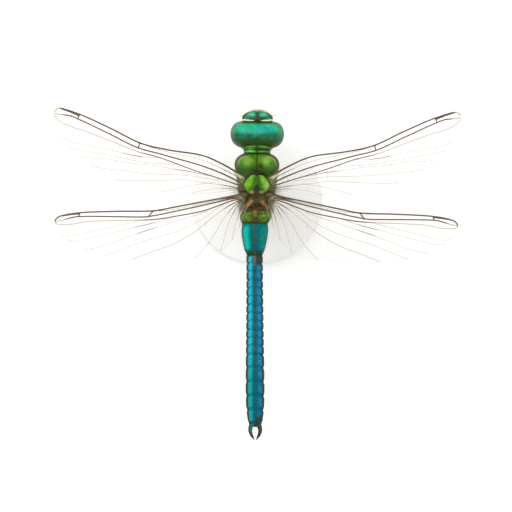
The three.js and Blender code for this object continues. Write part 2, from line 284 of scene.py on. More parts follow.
def rods(starts, ends, radius, sides=4, **marks):
    """Many straight closed bars at once: a small polygon at each start, carried to each end."""
    starts, ends = np.asarray(starts, float), np.asarray(ends, float)
    count = len(starts)
    along = unit(ends - starts)
    level = unit(np.cross(along, [0.013, 0.021, 1.0]))
    over = np.cross(level, along)
    turn = turns(sides)[0][None, :, None]
    ring = np.cos(turn) * level[:, None] + np.sin(turn) * over[:, None]
    points = np.stack([starts[:, None] + radius * ring, ends[:, None] + radius * ring], 1)
    here = np.arange(sides)
    after = (here + 1) % sides
    wall = np.stack([here, here + sides, after + sides, after], -1)
    fan = np.stack([np.zeros(sides - 2, int), here[1:-1], here[2:]], -1)
    caps = np.concatenate([fan, fan[:, ::-1] + sides])
    base = (2 * sides * np.arange(count))[:, None, None]
    return {
        "points": points.reshape(-1, 3),
        "quads": (wall + base).reshape(-1, 4)[:, ::-1],
        "tris": (caps + base).reshape(-1, 3)[:, ::-1],
        "marks": {k: np.repeat(np.broadcast_to(v, count), 2 * sides) for k, v in marks.items()},
    }


def hairs(roots, tips, radius, sag=0.12, **marks):
    """Many fine three-sided spikes at once, each bent at its middle by sag times its length."""
    roots, tips = np.asarray(roots, float), np.asarray(tips, float)
    count = len(roots)
    along = unit(tips - roots)
    level = unit(np.cross(along, [0.31, 0.17, 1.0]))
    over = np.cross(level, along)
    turn = turns(3)[0][None, :, None]
    ring = np.cos(turn) * level[:, None] + np.sin(turn) * over[:, None]
    length = np.linalg.norm(tips - roots, axis=-1, keepdims=True)
    middle = (roots + tips) / 2 + over * sag * length
    radius = np.broadcast_to(radius, count)[:, None, None]
    low = roots[:, None] + radius * ring
    mid = middle[:, None] + 0.65 * radius * ring
    points = np.concatenate([low, mid, tips[:, None]], 1)
    wall = np.array([[0, 1, 4, 3], [1, 2, 5, 4], [2, 0, 3, 5]])
    ends = np.array([[3, 4, 6], [4, 5, 6], [5, 3, 6], [0, 2, 1]])
    base = (7 * np.arange(count))[:, None, None]
    return {
        "points": points.reshape(-1, 3),
        "quads": (wall + base).reshape(-1, 4),
        "tris": (ends + base).reshape(-1, 3),
        "marks": {k: np.repeat(np.broadcast_to(v, count), 7) for k, v in marks.items()},
    }


def piece(name, shape, finish, replaced=(), unwrap=None):
    """Puts a shape into the scene as one piece that rides on the body and stands for its CAD nodes."""
    quads, tris = shape["quads"], shape["tris"]
    loops = np.concatenate([quads.ravel(), tris.ravel()]).astype(np.int32)
    sizes = np.concatenate([np.full(len(quads), 4), np.full(len(tris), 3)])
    starts = (np.cumsum(sizes) - sizes).astype(np.int32)
    mesh = bpy.data.meshes.new(name)
    mesh.vertices.add(len(shape["points"]))
    mesh.vertices.foreach_set("co", place(shape["points"]).ravel())
    mesh.loops.add(len(loops))
    mesh.loops.foreach_set("vertex_index", loops)
    mesh.polygons.add(len(sizes))
    mesh.polygons.foreach_set("loop_start", starts)
    mesh.update(calc_edges=True)
    mesh.shade_smooth()
    for mark, values in shape["marks"].items():
        mesh.attributes.new(mark, "FLOAT", "POINT").data.foreach_set("value", values)
    if unwrap is not None:
        mesh.uv_layers.new(name="OFBake").data.foreach_set("uv", unwrap[loops].ravel())
    mesh.materials.append(finish)
    thing = bpy.data.objects.new(name, mesh)
    bpy.context.scene.collection.objects.link(thing)
    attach(thing, "root")
    if replaced:
        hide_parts(*replaced)


# ---------------------------------------------------------------- finishes


def tint(red, green, blue):
    """A colour given as it looks on a screen, 0 to 255, as the linear colour that shaders take."""
    c = np.array([red, green, blue]) / 255
    linear = np.where(c <= 0.04045, c / 12.92, ((c + 0.055) / 1.055) ** 2.4)
    return (*linear, 1.0)


class Finish:
    """A node material: one Principled shader, and the few calls that its pattern is made of."""

    def __init__(self, name, **fixed):
        self.material = bpy.data.materials.new(name)
        self.material.use_nodes = True
        self.tree = self.material.node_tree
        self.shader = self.tree.nodes["Principled BSDF"]
        self.object_place = self.tree.nodes.new("ShaderNodeTexCoord").outputs["Object"]
        for socket, value in fixed.items():
            self.shader.inputs[socket.replace("_", " ")].default_value = value

    def node(self, kind, settings, *inputs):
        """A new node of a kind, with its settings and its [input, value or socket] pairs."""
        made = self.tree.nodes.new("ShaderNode" + kind)
        for key, value in settings.items():
            setattr(made, key, value)
        for socket, value in inputs:
            if isinstance(value, bpy.types.NodeSocket):
                self.tree.links.new(value, made.inputs[socket])
            else:
                made.inputs[socket].default_value = value
        return made

    def mark(self, name):
        """A marking kept on the points of the mesh."""
        return self.node("Attribute", {"attribute_name": name}).outputs["Fac"]

    def spread(self, stretch):
        """The place on the piece, stretched along x, y and z."""
        if stretch is None:
            return self.object_place
        pairs = [("Vector", self.object_place), ("Scale", stretch)]
        return self.node("Mapping", {}, *pairs).outputs["Vector"]

    def noise(self, size, detail=4.0, stretch=None):
        """Cloudy noise from 0 to 1 whose lumps are about `size` millimetres across."""
        pairs = [("Vector", self.spread(stretch)), ("Scale", 1 / (size * MM)), ("Detail", detail)]
        return self.node("TexNoise", {}, *pairs).outputs["Fac"]

    def cells(self, size):
        """The distance from the middle of each of many small cells, `size` millimetres apart."""
        pairs = [("Vector", self.object_place), ("Scale", 1 / (size * MM))]
        return self.node("TexVoronoi", {"feature": "F1"}, *pairs).outputs["Distance"]

    def times(self, first, second):
        """The product of two numbers or sockets."""
        return self.node("Math", {"operation": "MULTIPLY"}, (0, first), (1, second)).outputs[0]

    def ramp(self, value, low, high, start=0.0, end=1.0):
        """A number brought from the range low to high into start to end, and held there beyond it."""
        pairs = [(0, value), (1, low), (2, high), (3, start), (4, end)]
        return self.node("MapRange", {}, *pairs).outputs[0]

    def mix(self, share, under, over, blend="MIX"):
        """Two colours mixed by a share: 0 shows the first and 1 the second."""
        settings = {"data_type": "RGBA", "blend_type": blend}
        return self.node("Mix", settings, (0, share), (6, under), (7, over)).outputs[2]

    def cloud(self, size, detail=4.0):
        """Soft patches: noise whose middle range goes from 0 to 1."""
        return self.ramp(self.noise(size, detail), 0.35, 0.65)

    def satin(self, size, low, high):
        """A roughness that drifts between low and high."""
        return self.ramp(self.noise(size), 0.3, 0.7, low, high)

    def speckled(self, colour, size, detail, low, high):
        """A colour made darker and lighter in specks, by a factor between low and high."""
        factor = self.ramp(self.noise(size, detail), 0.3, 0.7, low, high)
        return self.mix(1.0, colour, factor, "MULTIPLY")

    def layers(self, colour, cloud, *layers):
        """Colours laid over a colour one after another, each where its marking is.

        A layer is the marking's name, how much of it counts, and one shade, or two that the cloud mixes.
        """
        for name, share, *shades in layers:
            where = self.mark(name) if share == 1 else self.times(self.mark(name), share)
            shades = [tint(*shade) for shade in shades]
            colour = self.mix(where, colour, self.mix(cloud, *shades) if len(shades) > 1 else shades[0])
        return colour

    def bump(self, height, depth, over=None):
        """A relief of some thousandths of a millimetre, over another one where it is given."""
        pairs = [("Height", height), ("Distance", depth * MM), ("Strength", 1.0)]
        if over is not None:
            pairs.append(("Normal", over))
        return self.node("Bump", {}, *pairs).outputs["Normal"]

    def done(self, colour, roughness, relief):
        """Joins the pattern to the shader and returns the material."""
        for socket, value in (("Base Color", colour), ("Roughness", roughness), ("Normal", relief)):
            self.tree.links.new(value, self.shader.inputs[socket])
        return self.material


# ---------------------------------------------------------------- eyes

EYE = {"station": 6.15, "z": 0.3, "half_width": 6.5, "front": 3.2, "back": 3.6, "up": 4.4, "down": 4.5}
EYE_SEAM = 0.006  # how far each eye stays off the middle line
EYE_BLUE = {"left": 0.5, "right": 0.8}  # the strength of each eye's blue patch


def eye_finish():
    """Satin teal with emerald and blue clouds, olive behind, a yellow-green underside, a painted highlight
    band in front, painted shade towards the back and a brown rim of painted shade where the eye turns down.
    """
    f = Finish("eye_teal", Coat_Weight=0.12, Coat_Roughness=0.2, Specular_IOR_Level=0.16)
    cloud = f.ramp(f.noise(1.5, 2.0), 0.4, 0.6)
    colour = f.mix(cloud, tint(6, 160, 112), tint(24, 184, 146))
    colour = f.layers(
        colour,
        cloud,
        # A painted highlight band across the front of the eye.
        ("glow", 1, (14, 176, 112), (30, 196, 152)),
        ("blue", 1, (26, 156, 160)),
        ("side", 1, (70, 156, 84)),
        # Painted shade: the eye grows darker towards its back, in two steps.
        ("middle", 1, (8, 92, 64), (26, 120, 92)),
        ("ahead", 1, (52, 104, 48), (38, 120, 62)),
        ("rear", 1, (28, 80, 28), (38, 86, 40)),
        ("olive", 1, (50, 76, 22)),
        ("under", 1, (120, 140, 58)),
        # A brown rim of painted shade where the eye turns down from above.
        ("rim", 1, (88, 66, 32), (76, 84, 40)),
    )
    colour = f.speckled(colour, 0.4, 3.0, 0.84, 1.12)
    facets = f.bump(f.cells(0.085), 0.012)
    return f.done(colour, f.satin(0.8, 0.28, 0.4), facets)


def eye_shape(blue):
    """One eye, half of a bean that lies across the head, with a blue patch of the given strength.

    At a distance x from the middle its section is an ellipse in station and height. Its half axes shrink
    by the square root of 1 - (x / half width)^n, with a higher n for the length than for the height.
    """
    reach = 1 - (1 - steps(124, 0, 0.985)) ** 2
    x = EYE_SEAM + (EYE["half_width"] - EYE_SEAM) * reach
    turn = turns(190)

    def shrink(n):
        return np.sqrt(1 - (x / EYE["half_width"]) ** n)

    length = np.where(np.cos(turn) > 0, EYE["back"] * shrink(4.0), EYE["front"] * shrink(5.2))
    height = np.where(np.sin(turn) > 0, EYE["up"] * shrink(2.7), EYE["down"] * shrink(2.2))
    s = EYE["station"] + length * np.cos(turn)
    grid = np.stack([x + 0 * turn, s, EYE["z"] + height * np.sin(turn)], -1)
    up = facing(grid)[..., 2]
    shoulder = spot(x, s, (5.55, 3.9), (0.65, 1.0))
    marks = {
        # A painted highlight band across the front of the eye.
        "glow": bell(s - 0.12 * x, 4.3, 0.85) * rise(x, 6.2, 4.6),
        # Painted shade: the eye grows darker towards its back, in two steps.
        "middle": rise(s, 5.2, 6.8),
        "rear": rise(s, 6.8, 7.8),
        "olive": rise(s, 7.6, 8.6) * rise(x, 5.9, 4.0),
        # Painted shade: a brown rim where the surface turns down from above, and a spot on the outer front
        # corner.
        "rim": np.maximum(rise(up, 0.58, 0.3), shoulder) * rise(up, -0.1, 0.2) * 0.85,
        "under": rise(-up, -0.28, 0.0),
        "side": rise(x, 4.6, 5.6) * rise(s, 4.9, 5.5) * 0.8,
        "ahead": rise(s, 4.15, 3.5) * rise(up, -0.1, 0.2) * (1 - 0.4 * bell(x, 0, 1.2)) * 0.9,
        "blue": blue * spot(x, s, (1.9, 5.3), (2.2, 0.9)) * rise(up, 0.3, 0.7),
    }
    return skin(grid, **marks)


# ---------------------------------------------------------------- face

FRONS = {"middle": (0, 2.4, 1.25), "radii": (3.75, 1.9, 1.9)}
CLYPEUS = {"middle": (0, 1.8, -0.9), "radii": (3.2, 1.8, 1.7)}
LABRUM = {"middle": (0, 1.95, -3.1), "radii": (2.6, 1.7, 1.35)}
LABIUM = {"middle": (0, 4.4, -4.3), "radii": (2.7, 2.7, 1.2)}
MANDIBLE = {"middle": (2.3, 2.7, -3.1), "radii": (1.15, 1.5, 1.5)}
VERTEX = {"middle": (0, 2.55, 3.35), "radii": (0.95, 0.75, 0.85)}


def frons_finish():
    """Satin teal green with painted highlights as two bright spots, a dark mark at the top, a brown border
    and a cream foot.
    """
    f = Finish("face_teal", Coat_Weight=0.15, Coat_Roughness=0.2, Specular_IOR_Level=0.2)
    cloud = f.cloud(1.1, 3.0)
    colour = f.mix(cloud, tint(6, 116, 72), tint(12, 138, 94))
    colour = f.layers(
        colour,
        cloud,
        # Painted highlights on the brow's two lobes.
        ("bright", 1, (52, 208, 136), (62, 196, 164)),
        ("foot", 1, (242, 234, 212), (228, 222, 192)),
        ("dark", 1, (30, 54, 18)),
        ("border", 1, (72, 62, 32)),
    )
    grain = f.bump(f.cells(0.16), 0.012, f.bump(f.noise(0.3), 0.02))
    return f.done(colour, f.satin(0.5, 0.24, 0.4), grain)


def frons_shape():
    """The brow: an ellipsoid with a furrow down its middle and a low ridge along its upper edge."""
    grid = ball(rows=90, columns=130, **FRONS)
    x, s, z = np.moveaxis(grid, -1, 0)
    furrow = -0.16 * bell(x, 0, 0.3) * rise(z, 0.2, 1.6)
    ridge = 0.07 * bell(z, 2.35, 0.28) * rise(s, 2.6, 1.6) * rise(np.abs(x), 3.3, 2.6)
    dimples = -0.05 * spot(np.abs(x), z, (1.5, 1.2), (0.5, 0.45)) * rise(s, 2.4, 1.4)
    stem = bell(x, -0.05, 0.42) * rise(s, 0.5, 1.1) * rise(z, 1.3, 2.0)
    bar = rise(s, 1.9, 2.5) * rise(np.abs(x), 2.9, 1.2) * rise(z, 1.2, 1.8)
    up = facing(grid)[..., 2]
    steep = 0.6 + 0.18 * rise(np.abs(x), 1.8, 2.8)
    border = np.maximum(rise(up - steep, 0.08, -0.12) * rise(z, 1.0, 1.3), rise(s, 2.75, 3.1))
    marks = {
        "dark": np.clip(0.85 * stem + 0.9 * bar, 0, 1),
        "border": np.clip(border * rise(z, 1.1, 1.35) + bell(x, 0, 0.14) * rise(z, 1.3, 1.1), 0, 1) * 0.92,
        # Painted highlights on top of the brow's two lobes.
        "bright": spot(np.abs(x), s, (1.45, 1.6), (0.9, 0.5)) * rise(z, 1.4, 2.4),
        "foot": rise(z, 1.55, 1.3),
    }
    return skin(raised(grid, furrow + ridge + dimples), **marks)


def brow_rim_shape():
    """A cream ridge from beside the vertex to the side of the brow, where the brow meets the eye."""
    t = steps(48)[:, 0]
    lean = 0.19 + 1.4 * t
    s = 3.0 - 0.3 * t**1.5
    (_, s0, z0), (a, b, c) = FRONS["middle"], FRONS["radii"]
    inset = np.sqrt(1 - ((s - s0) / b) ** 2)
    x, z = (a + 0.14) * inset * np.sin(lean), z0 + (c + 0.03) * inset * np.cos(lean)
    width = 0.05 + 0.15 * np.sin(np.pi * t) ** 0.6
    return tube(np.stack([x, s, z], -1), width, sides=16, flatness=0.6)


def pale_finish(name, base, dusk, line):
    """Satin cuticle in two pale shades with fine pits, darker where the marking says so."""
    f = Finish(name, Coat_Weight=0.12, Coat_Roughness=0.2, Specular_IOR_Level=0.25)
    colour = f.mix(f.cloud(0.8), base, dusk)
    colour = f.mix(f.mark("dark"), colour, line)
    pits = f.bump(f.cells(0.2), 0.014, f.bump(f.noise(0.25), 0.018))
    return f.done(colour, f.satin(0.4, 0.34, 0.5), pits)


def clypeus_shape():
    """The face under the brow: an ellipsoid with a level step in it and two shallow dimples."""
    grid = ball(rows=80, columns=120, **CLYPEUS)
    x, s, z = np.moveaxis(grid, -1, 0)
    step = -0.13 * bell(z, -1.55, 0.13) + 0.06 * bell(z, -1.2, 0.2)
    dimples = -0.08 * spot(np.abs(x), z, (1.1, -0.7), (0.4, 0.3)) * rise(s, 2.2, 1.2)
    marks = {"dark": 0.7 * bell(z, -1.56, 0.1) + 0.8 * bell(z, 0.25, 0.14)}
    return skin(raised(grid, (step + dimples) * rise(s, 3.2, 2.2)), **marks)


def labrum_shape():
    """The upper lip: an ellipsoid with a middle dimple and a dark lower edge."""
    grid = ball(rows=70, columns=110, **LABRUM)
    x, s, z = np.moveaxis(grid, -1, 0)
    front = rise(s, 2.4, 1.4)
    dimple = -0.14 * spot(x, z, (0, -3.0), (0.5, 0.35)) * front
    notch = -0.12 * spot(x, z, (0, -4.3), (0.35, 0.4)) * front
    edge = rise(-z, 3.75, 4.1)
    return skin(raised(grid, dimple + notch + 0.05 * edge), dark=0.92 * edge)


def mandible_shape():
    """The cheek side of a jaw: an ellipsoid drawn in to a ridge near its lower front edge."""
    grid = ball(rows=50, columns=80, **MANDIBLE)
    _, s, z = np.moveaxis(grid, -1, 0)
    ridge = 0.08 * bell(z + 0.5 * (s - 2.0), -3.9, 0.18)
    return skin(raised(grid, ridge), dark=0.85 * rise(-z - 0.4 * s, 2.7, 3.1))


def labium_shape():
    """The lower lip: an ellipsoid parted by two long grooves into a middle lobe and two side lobes."""
    grid = ball(rows=90, columns=110, **LABIUM)
    x, s, z = np.moveaxis(grid, -1, 0)
    under = rise(-z, 4.2, 4.7)
    groove_place = 0.75 + 0.18 * (s - 4.4)
    groove = bell(np.abs(x), groove_place, 0.12) * rise(s, 6.4, 5.6)
    cleft = bell(x, 0, 0.07) * rise(s, 3.4, 2.6)
    tips = rise(s, 2.9, 2.1)
    height = -0.16 * groove * under - 0.12 * cleft * under
    return skin(raised(grid, height), dark=np.clip(0.6 * groove * under + 0.5 * tips, 0, 1))


def vertex_shape():
    """The bump that carries the three small eyes: an ellipsoid pinched across its top into two knobs."""
    grid = ball(rows=50, columns=70, **VERTEX)
    x, _, z = np.moveaxis(grid, -1, 0)
    saddle = -0.16 * bell(x, 0, 0.28) * rise(z, 3.5, 4.1)
    return skin(raised(grid, saddle), crown=bell(z, 4.1, 0.35) * rise(np.abs(x), 0.1, 0.5))


def vertex_finish():
    """Dark olive, paler on its two knobs."""
    f = Finish("vertex_brown", Coat_Weight=0.1, Coat_Roughness=0.2, Specular_IOR_Level=0.15)
    colour = f.mix(f.cloud(0.4), tint(34, 52, 16), tint(50, 66, 24))
    colour = f.mix(f.mark("crown"), colour, tint(62, 86, 34))
    return f.done(colour, f.satin(0.3, 0.28, 0.42), f.bump(f.noise(0.12), 0.015))


def ocelli_shape():
    """Three small eyes round the vertex: one in front and one on each side."""
    front = skin(ball((0, 1.92, 3.6), (0.22, 0.19, 0.22), 24, 32))
    outer = skin(ball((0.72, 2.28, 3.88), (0.16, 0.17, 0.15), 24, 32))
    return together(front, on_both(outer))


def ocelli_finish():
    """Small dark olive beads, paler in places."""
    f = Finish("ocelli_olive", Coat_Weight=0.5, Coat_Roughness=0.06)
    colour = f.mix(f.cloud(0.25), tint(30, 38, 14), tint(72, 78, 34))
    return f.done(colour, f.satin(0.2, 0.1, 0.2), f.bump(f.noise(0.1), 0.004))


def antenna_shape():
    """Two thick joints and a bristle that thins towards its tip, bent up and outwards."""
    root, knee, tip = (1.5, 2.15, 3.3), (2.15, 1.97, 3.68), (4.7, 1.75, 4.6)
    t = steps(18)
    thick = 0.21 - 0.05 * t[:, 0] - 0.04 * bell(t[:, 0], 0.5, 0.06)
    base = tube(np.array(root) + (np.array(knee) - root) * t, thick, 16, olive=0.9)
    t = steps(44)
    path = np.array(knee) + (np.array(tip) - knee) * t
    path[:, 2] += 0.16 * np.sin(np.pi * t[:, 0])
    joints = 0.008 * np.cos(2 * np.pi * 5 * t[:, 0])
    bristle = tube(path, 0.085 - 0.05 * t[:, 0] + joints, 10, olive=rise(t[:, 0], 0.3, 0.0))
    return together(base, bristle)


def limb_finish():
    """Near-black cuticle, red-brown or green where marked, with pale joints and a fine grain."""
    f = Finish("limb_black", Coat_Weight=0.25, Coat_Roughness=0.2, Specular_IOR_Level=0.35)
    colour = f.mix(f.cloud(0.5), tint(28, 20, 15), tint(46, 32, 22))
    colour = f.layers(
        colour,
        None,
        ("red", 1, (120, 62, 30)),
        ("olive", 1, (22, 142, 98)),
        ("joint", 1, (120, 96, 56)),
    )
    return f.done(colour, f.satin(0.3, 0.3, 0.48), f.bump(f.noise(0.1), 0.012))


# ---------------------------------------------------------------- head capsule and collar

# Station, half width and half height, from front to back.
CAPSULE = [
    (3.5, 2.6, 2.4), (4.2, 3.7, 3.4), (7.0, 4.4, 3.9),
    (8.8, 4.3, 3.8), (9.6, 3.7, 3.4), (10.0, 3.25, 2.9),
]
COLLAR = [(10.1, 2.9, 2.5), (10.25, 3.25, 2.9), (10.55, 3.2, 2.9), (10.8, 2.95, 2.6)]
CAPSULE_Z = -0.7  # the height of the capsule's middle
CHEST_LEAN = 0.35  # how far the front of the chest falls back for each millimetre down
MEMBRANE = {"front": 9.0, "back": 11.9, "z": -0.6, "wide": 2.45, "high": 2.1, "fold": 0.12, "spacing": 0.42}


def membrane_shape():
    """The soft skin inside the neck: an oval sleeve with round folds across it."""
    s = steps(70, MEMBRANE["front"], MEMBRANE["back"])
    wave = np.cos(2 * np.pi * s / MEMBRANE["spacing"])
    folds = MEMBRANE["fold"] * wave
    high = MEMBRANE["high"] + folds
    grid = oval_rings(s, MEMBRANE["z"], MEMBRANE["wide"] + folds, high, high, 2.1, 96)
    # The troughs of the folds are darkened with painted shade.
    return skin(grid, fold=rise(wave, 0.2, -0.6))


def membrane_finish():
    """Dull olive skin, darker in the troughs of the folds with painted shade."""
    f = Finish("membrane_olive", Specular_IOR_Level=0.2)
    colour = f.mix(f.cloud(0.4), tint(70, 74, 36), tint(96, 98, 54))
    # Painted shade in the troughs of the folds.
    colour = f.mix(f.mark("fold"), colour, tint(34, 36, 16))
    return f.done(colour, f.satin(0.3, 0.5, 0.65), f.bump(f.noise(0.12), 0.02))


def capsule_shape():
    """The capsule between and behind the eyes, with a raised rim, bright green patches at the back and a
    painted highlight on the left.
    """
    s = steps(90, CAPSULE[0][0], CAPSULE[-1][0])
    grid = sleeve(CAPSULE, s, CAPSULE_Z, 2.3, 130)
    x, s, z = np.moveaxis(grid, -1, 0)
    rim = 0.07 * bell(s, 9.35, 0.16)
    furrow = -0.12 * bell(x, 0, 0.2) * rise(z, 1.5, 2.5)
    crescent = bell(s, 9.3, 0.3) * spot(np.abs(x), z, (1.9, 2.4), (1.3, 0.9))
    marks = {
        "green": crescent,
        # A painted highlight on the left side.
        "shine": 0.8 * bell(s, 9.85, 0.2) * bell(x, 1.7, 0.9) * rise(z, 0.5, 1.5),
        "dark": np.maximum(0.6 * bell(s, 9.62, 0.1), 0.8 * bell(x, 0, 0.3) * rise(z, 1, 2)),
        "pale": rise(-z, 2.2, 3.2) * rise(s, 9.4, 8.6),
    }
    return skin(raised(grid, rim + furrow), **marks)


def collar_shape():
    """The collar between head and trunk: two rounded folds across it."""
    s = steps(44, COLLAR[0][0], COLLAR[-1][0])
    grid = sleeve(COLLAR, s, -COLLAR_DROP, 2.1, 140, CHEST_LEAN * rise(s, 10.15, 10.45))
    x, _, z = np.moveaxis(grid, -1, 0)
    folds = 0.05 * np.cos(2 * np.pi * (s - 10.28) / 0.34) * rise(s, 10.1, 10.2) + 0 * x
    marks = {
        "green": bell(s, 10.42, 0.24) * rise(z, 0.0, 1.2) * rise(np.abs(x), 0.2, 0.8),
        # A painted highlight on the left side.
        "shine": bell(s, 10.3, 0.25) * bell(x, 1.8, 0.9) * rise(z, 0.5, 1.5),
        "dark": np.maximum(0.7 * bell(s, 10.68, 0.05), 0.6 * bell(x, 0, 0.15) * rise(z, 0, 1)),
        "pale": rise(-z, 1.2, 2.4),
    }
    return skin(raised(grid, folds), **marks)


def neck_finish():
    """Green cuticle with bright green patches, a painted highlight on the left, dark folds and a paler
    underside.
    """
    f = Finish("neck_olive", Coat_Weight=0.12, Coat_Roughness=0.2, Specular_IOR_Level=0.2)
    colour = f.mix(f.cloud(0.6), tint(46, 88, 28), tint(64, 108, 42))
    colour = f.layers(
        colour,
        None,
        ("pale", 1, (150, 146, 96)),
        ("green", 1, (94, 166, 78)),
        # A painted highlight on the left side.
        ("shine", 1, (120, 228, 110)),
        ("dark", 0.7, (44, 50, 22)),
    )
    return f.done(colour, f.satin(0.3, 0.3, 0.48), f.bump(f.noise(0.14), 0.02))


# ---------------------------------------------------------------- thorax

THORAX = {"front": 10.9, "back": 24.5}
THORAX_WIDTH = [(10.9, 3.0), (12.1, 4.5), (14.4, 5.1), (17.5, 4.75), (21, 4.3), (24.5, 3.7)]
THORAX_TOP = [(10.9, 1.6), (12.1, 3.1), (14.4, 4.5), (17.5, 5.3), (21, 5.2), (24.5, 4.3)]
THORAX_BOTTOM = [(10.9, 2.6), (12.1, 4.6), (14.4, 6.0), (17.5, 6.6), (21, 5.9), (24.5, 3.0)]
THORAX_POWER = 2.25  # the n of the trunk's oval
PLATE_BLEND = 22  # how sharp the creases between the plates are

# The domed plates of the back, one of each pair to a side: middle [x, station, z] and radii.
BACK_PLATES = [
    ((2.45, 13.6, 1.5), (2.95, 2.75, 3.5)),
    ((1.55, 18.2, 4.5), (1.7, 2.1, 1.6)),
    ((1.35, 22.3, 4.1), (1.6, 1.6, 1.3)),
    ((1.1, 20.4, 4.85), (0.75, 0.6, 0.72)),
    ((1.9, 23.25, 4.0), (1.0, 0.62, 0.75)),
]

# Seams down each flank, from low to high: [station, z] to [station, z].
FLANK_SEAMS = [((12.4, -4.2), (17.3, 4.4)), ((14.6, -5.4), (19.9, 4.2)), ((17.6, -5.6), (22.4, 3.7))]


def plate_reach(s, turn, middle, radii):
    """How far out a ray from the body's axis leaves an ellipsoid, or 0 where it misses it.

    With the ray as [r cos(turn), s, r sin(turn)], the ellipsoid's equation is a quadratic in r.
    """
    (x0, s0, z0), (a, b, c) = middle, radii
    square = (np.cos(turn) / a) ** 2 + (np.sin(turn) / c) ** 2
    linear = x0 * np.cos(turn) / a**2 + z0 * np.sin(turn) / c**2
    rest = (x0 / a) ** 2 + (z0 / c) ** 2 + ((s - s0) / b) ** 2 - 1
    inside = linear**2 - square * rest
    return np.where(inside > 0, (linear + np.sqrt(np.maximum(inside, 0))) / square, 0)


def line_nearness(s, z, start, end, width):
    """A bell across the straight line from start to end, in station and height."""
    a, b = np.array(start), np.array(end)
    d = b - a
    t = np.clip(((s - a[0]) * d[0] + (z - a[1]) * d[1]) / (d @ d), 0, 1)
    gap = np.hypot(s - a[0] - t * d[0], z - a[1] - t * d[1])
    return bell(gap, 0, width)


def thorax_grid(rows=250, columns=310):
    """The grid of the trunk with its plates.

    A point lies at the greatest reach of the trunk's own oval and of every plate along its ray; the
    reaches are joined as the n-th root of the sum of their n-th powers, so that the creases are soft.
    """
    s = steps(rows, THORAX["front"], THORAX["back"])
    turn = turns(columns)
    up, down = smooth(THORAX_TOP, s), smooth(THORAX_BOTTOM, s)
    high = np.where(np.sin(turn) > 0, up, down)
    n = THORAX_POWER
    oval = np.abs(np.cos(turn) / smooth(THORAX_WIDTH, s)) ** n + np.abs(np.sin(turn) / high) ** n
    reaches = [oval ** (-1 / n)]
    for middle, radii in BACK_PLATES:
        pair = (plate_reach(s, turn, (x0, *middle[1:]), radii) for x0 in (middle[0], -middle[0]))
        reaches.append(np.maximum(*pair))
    most = np.max(reaches, axis=0)
    total = sum((reach / most) ** PLATE_BLEND for reach in reaches)
    radius = most * total ** (1 / PLATE_BLEND)
    x, z = radius * np.cos(turn), radius * np.sin(turn)
    t = (s - THORAX["front"]) / (THORAX["back"] - THORAX["front"])
    leaning = s + CHEST_LEAN * (1 - t) ** 2 * np.maximum(0, -z)
    return np.stack([x, leaning, z], -1)


def leaf_field(x, s):
    """The bright leaf-shaped field of a back plate: narrow and near the middle in front, wide behind."""
    t = (s - 16.15) / 4.2
    middle = 0.75 + 1.15 * rise(t, 0, 0.7)
    half = 1.5 * np.sin(np.pi * np.clip(t, 0.001, 0.999) ** 0.85) ** 0.6
    return rise(np.abs(x - middle) / np.maximum(half, 0.01), 1.05, 0.78) * (t > 0) * (t < 1)


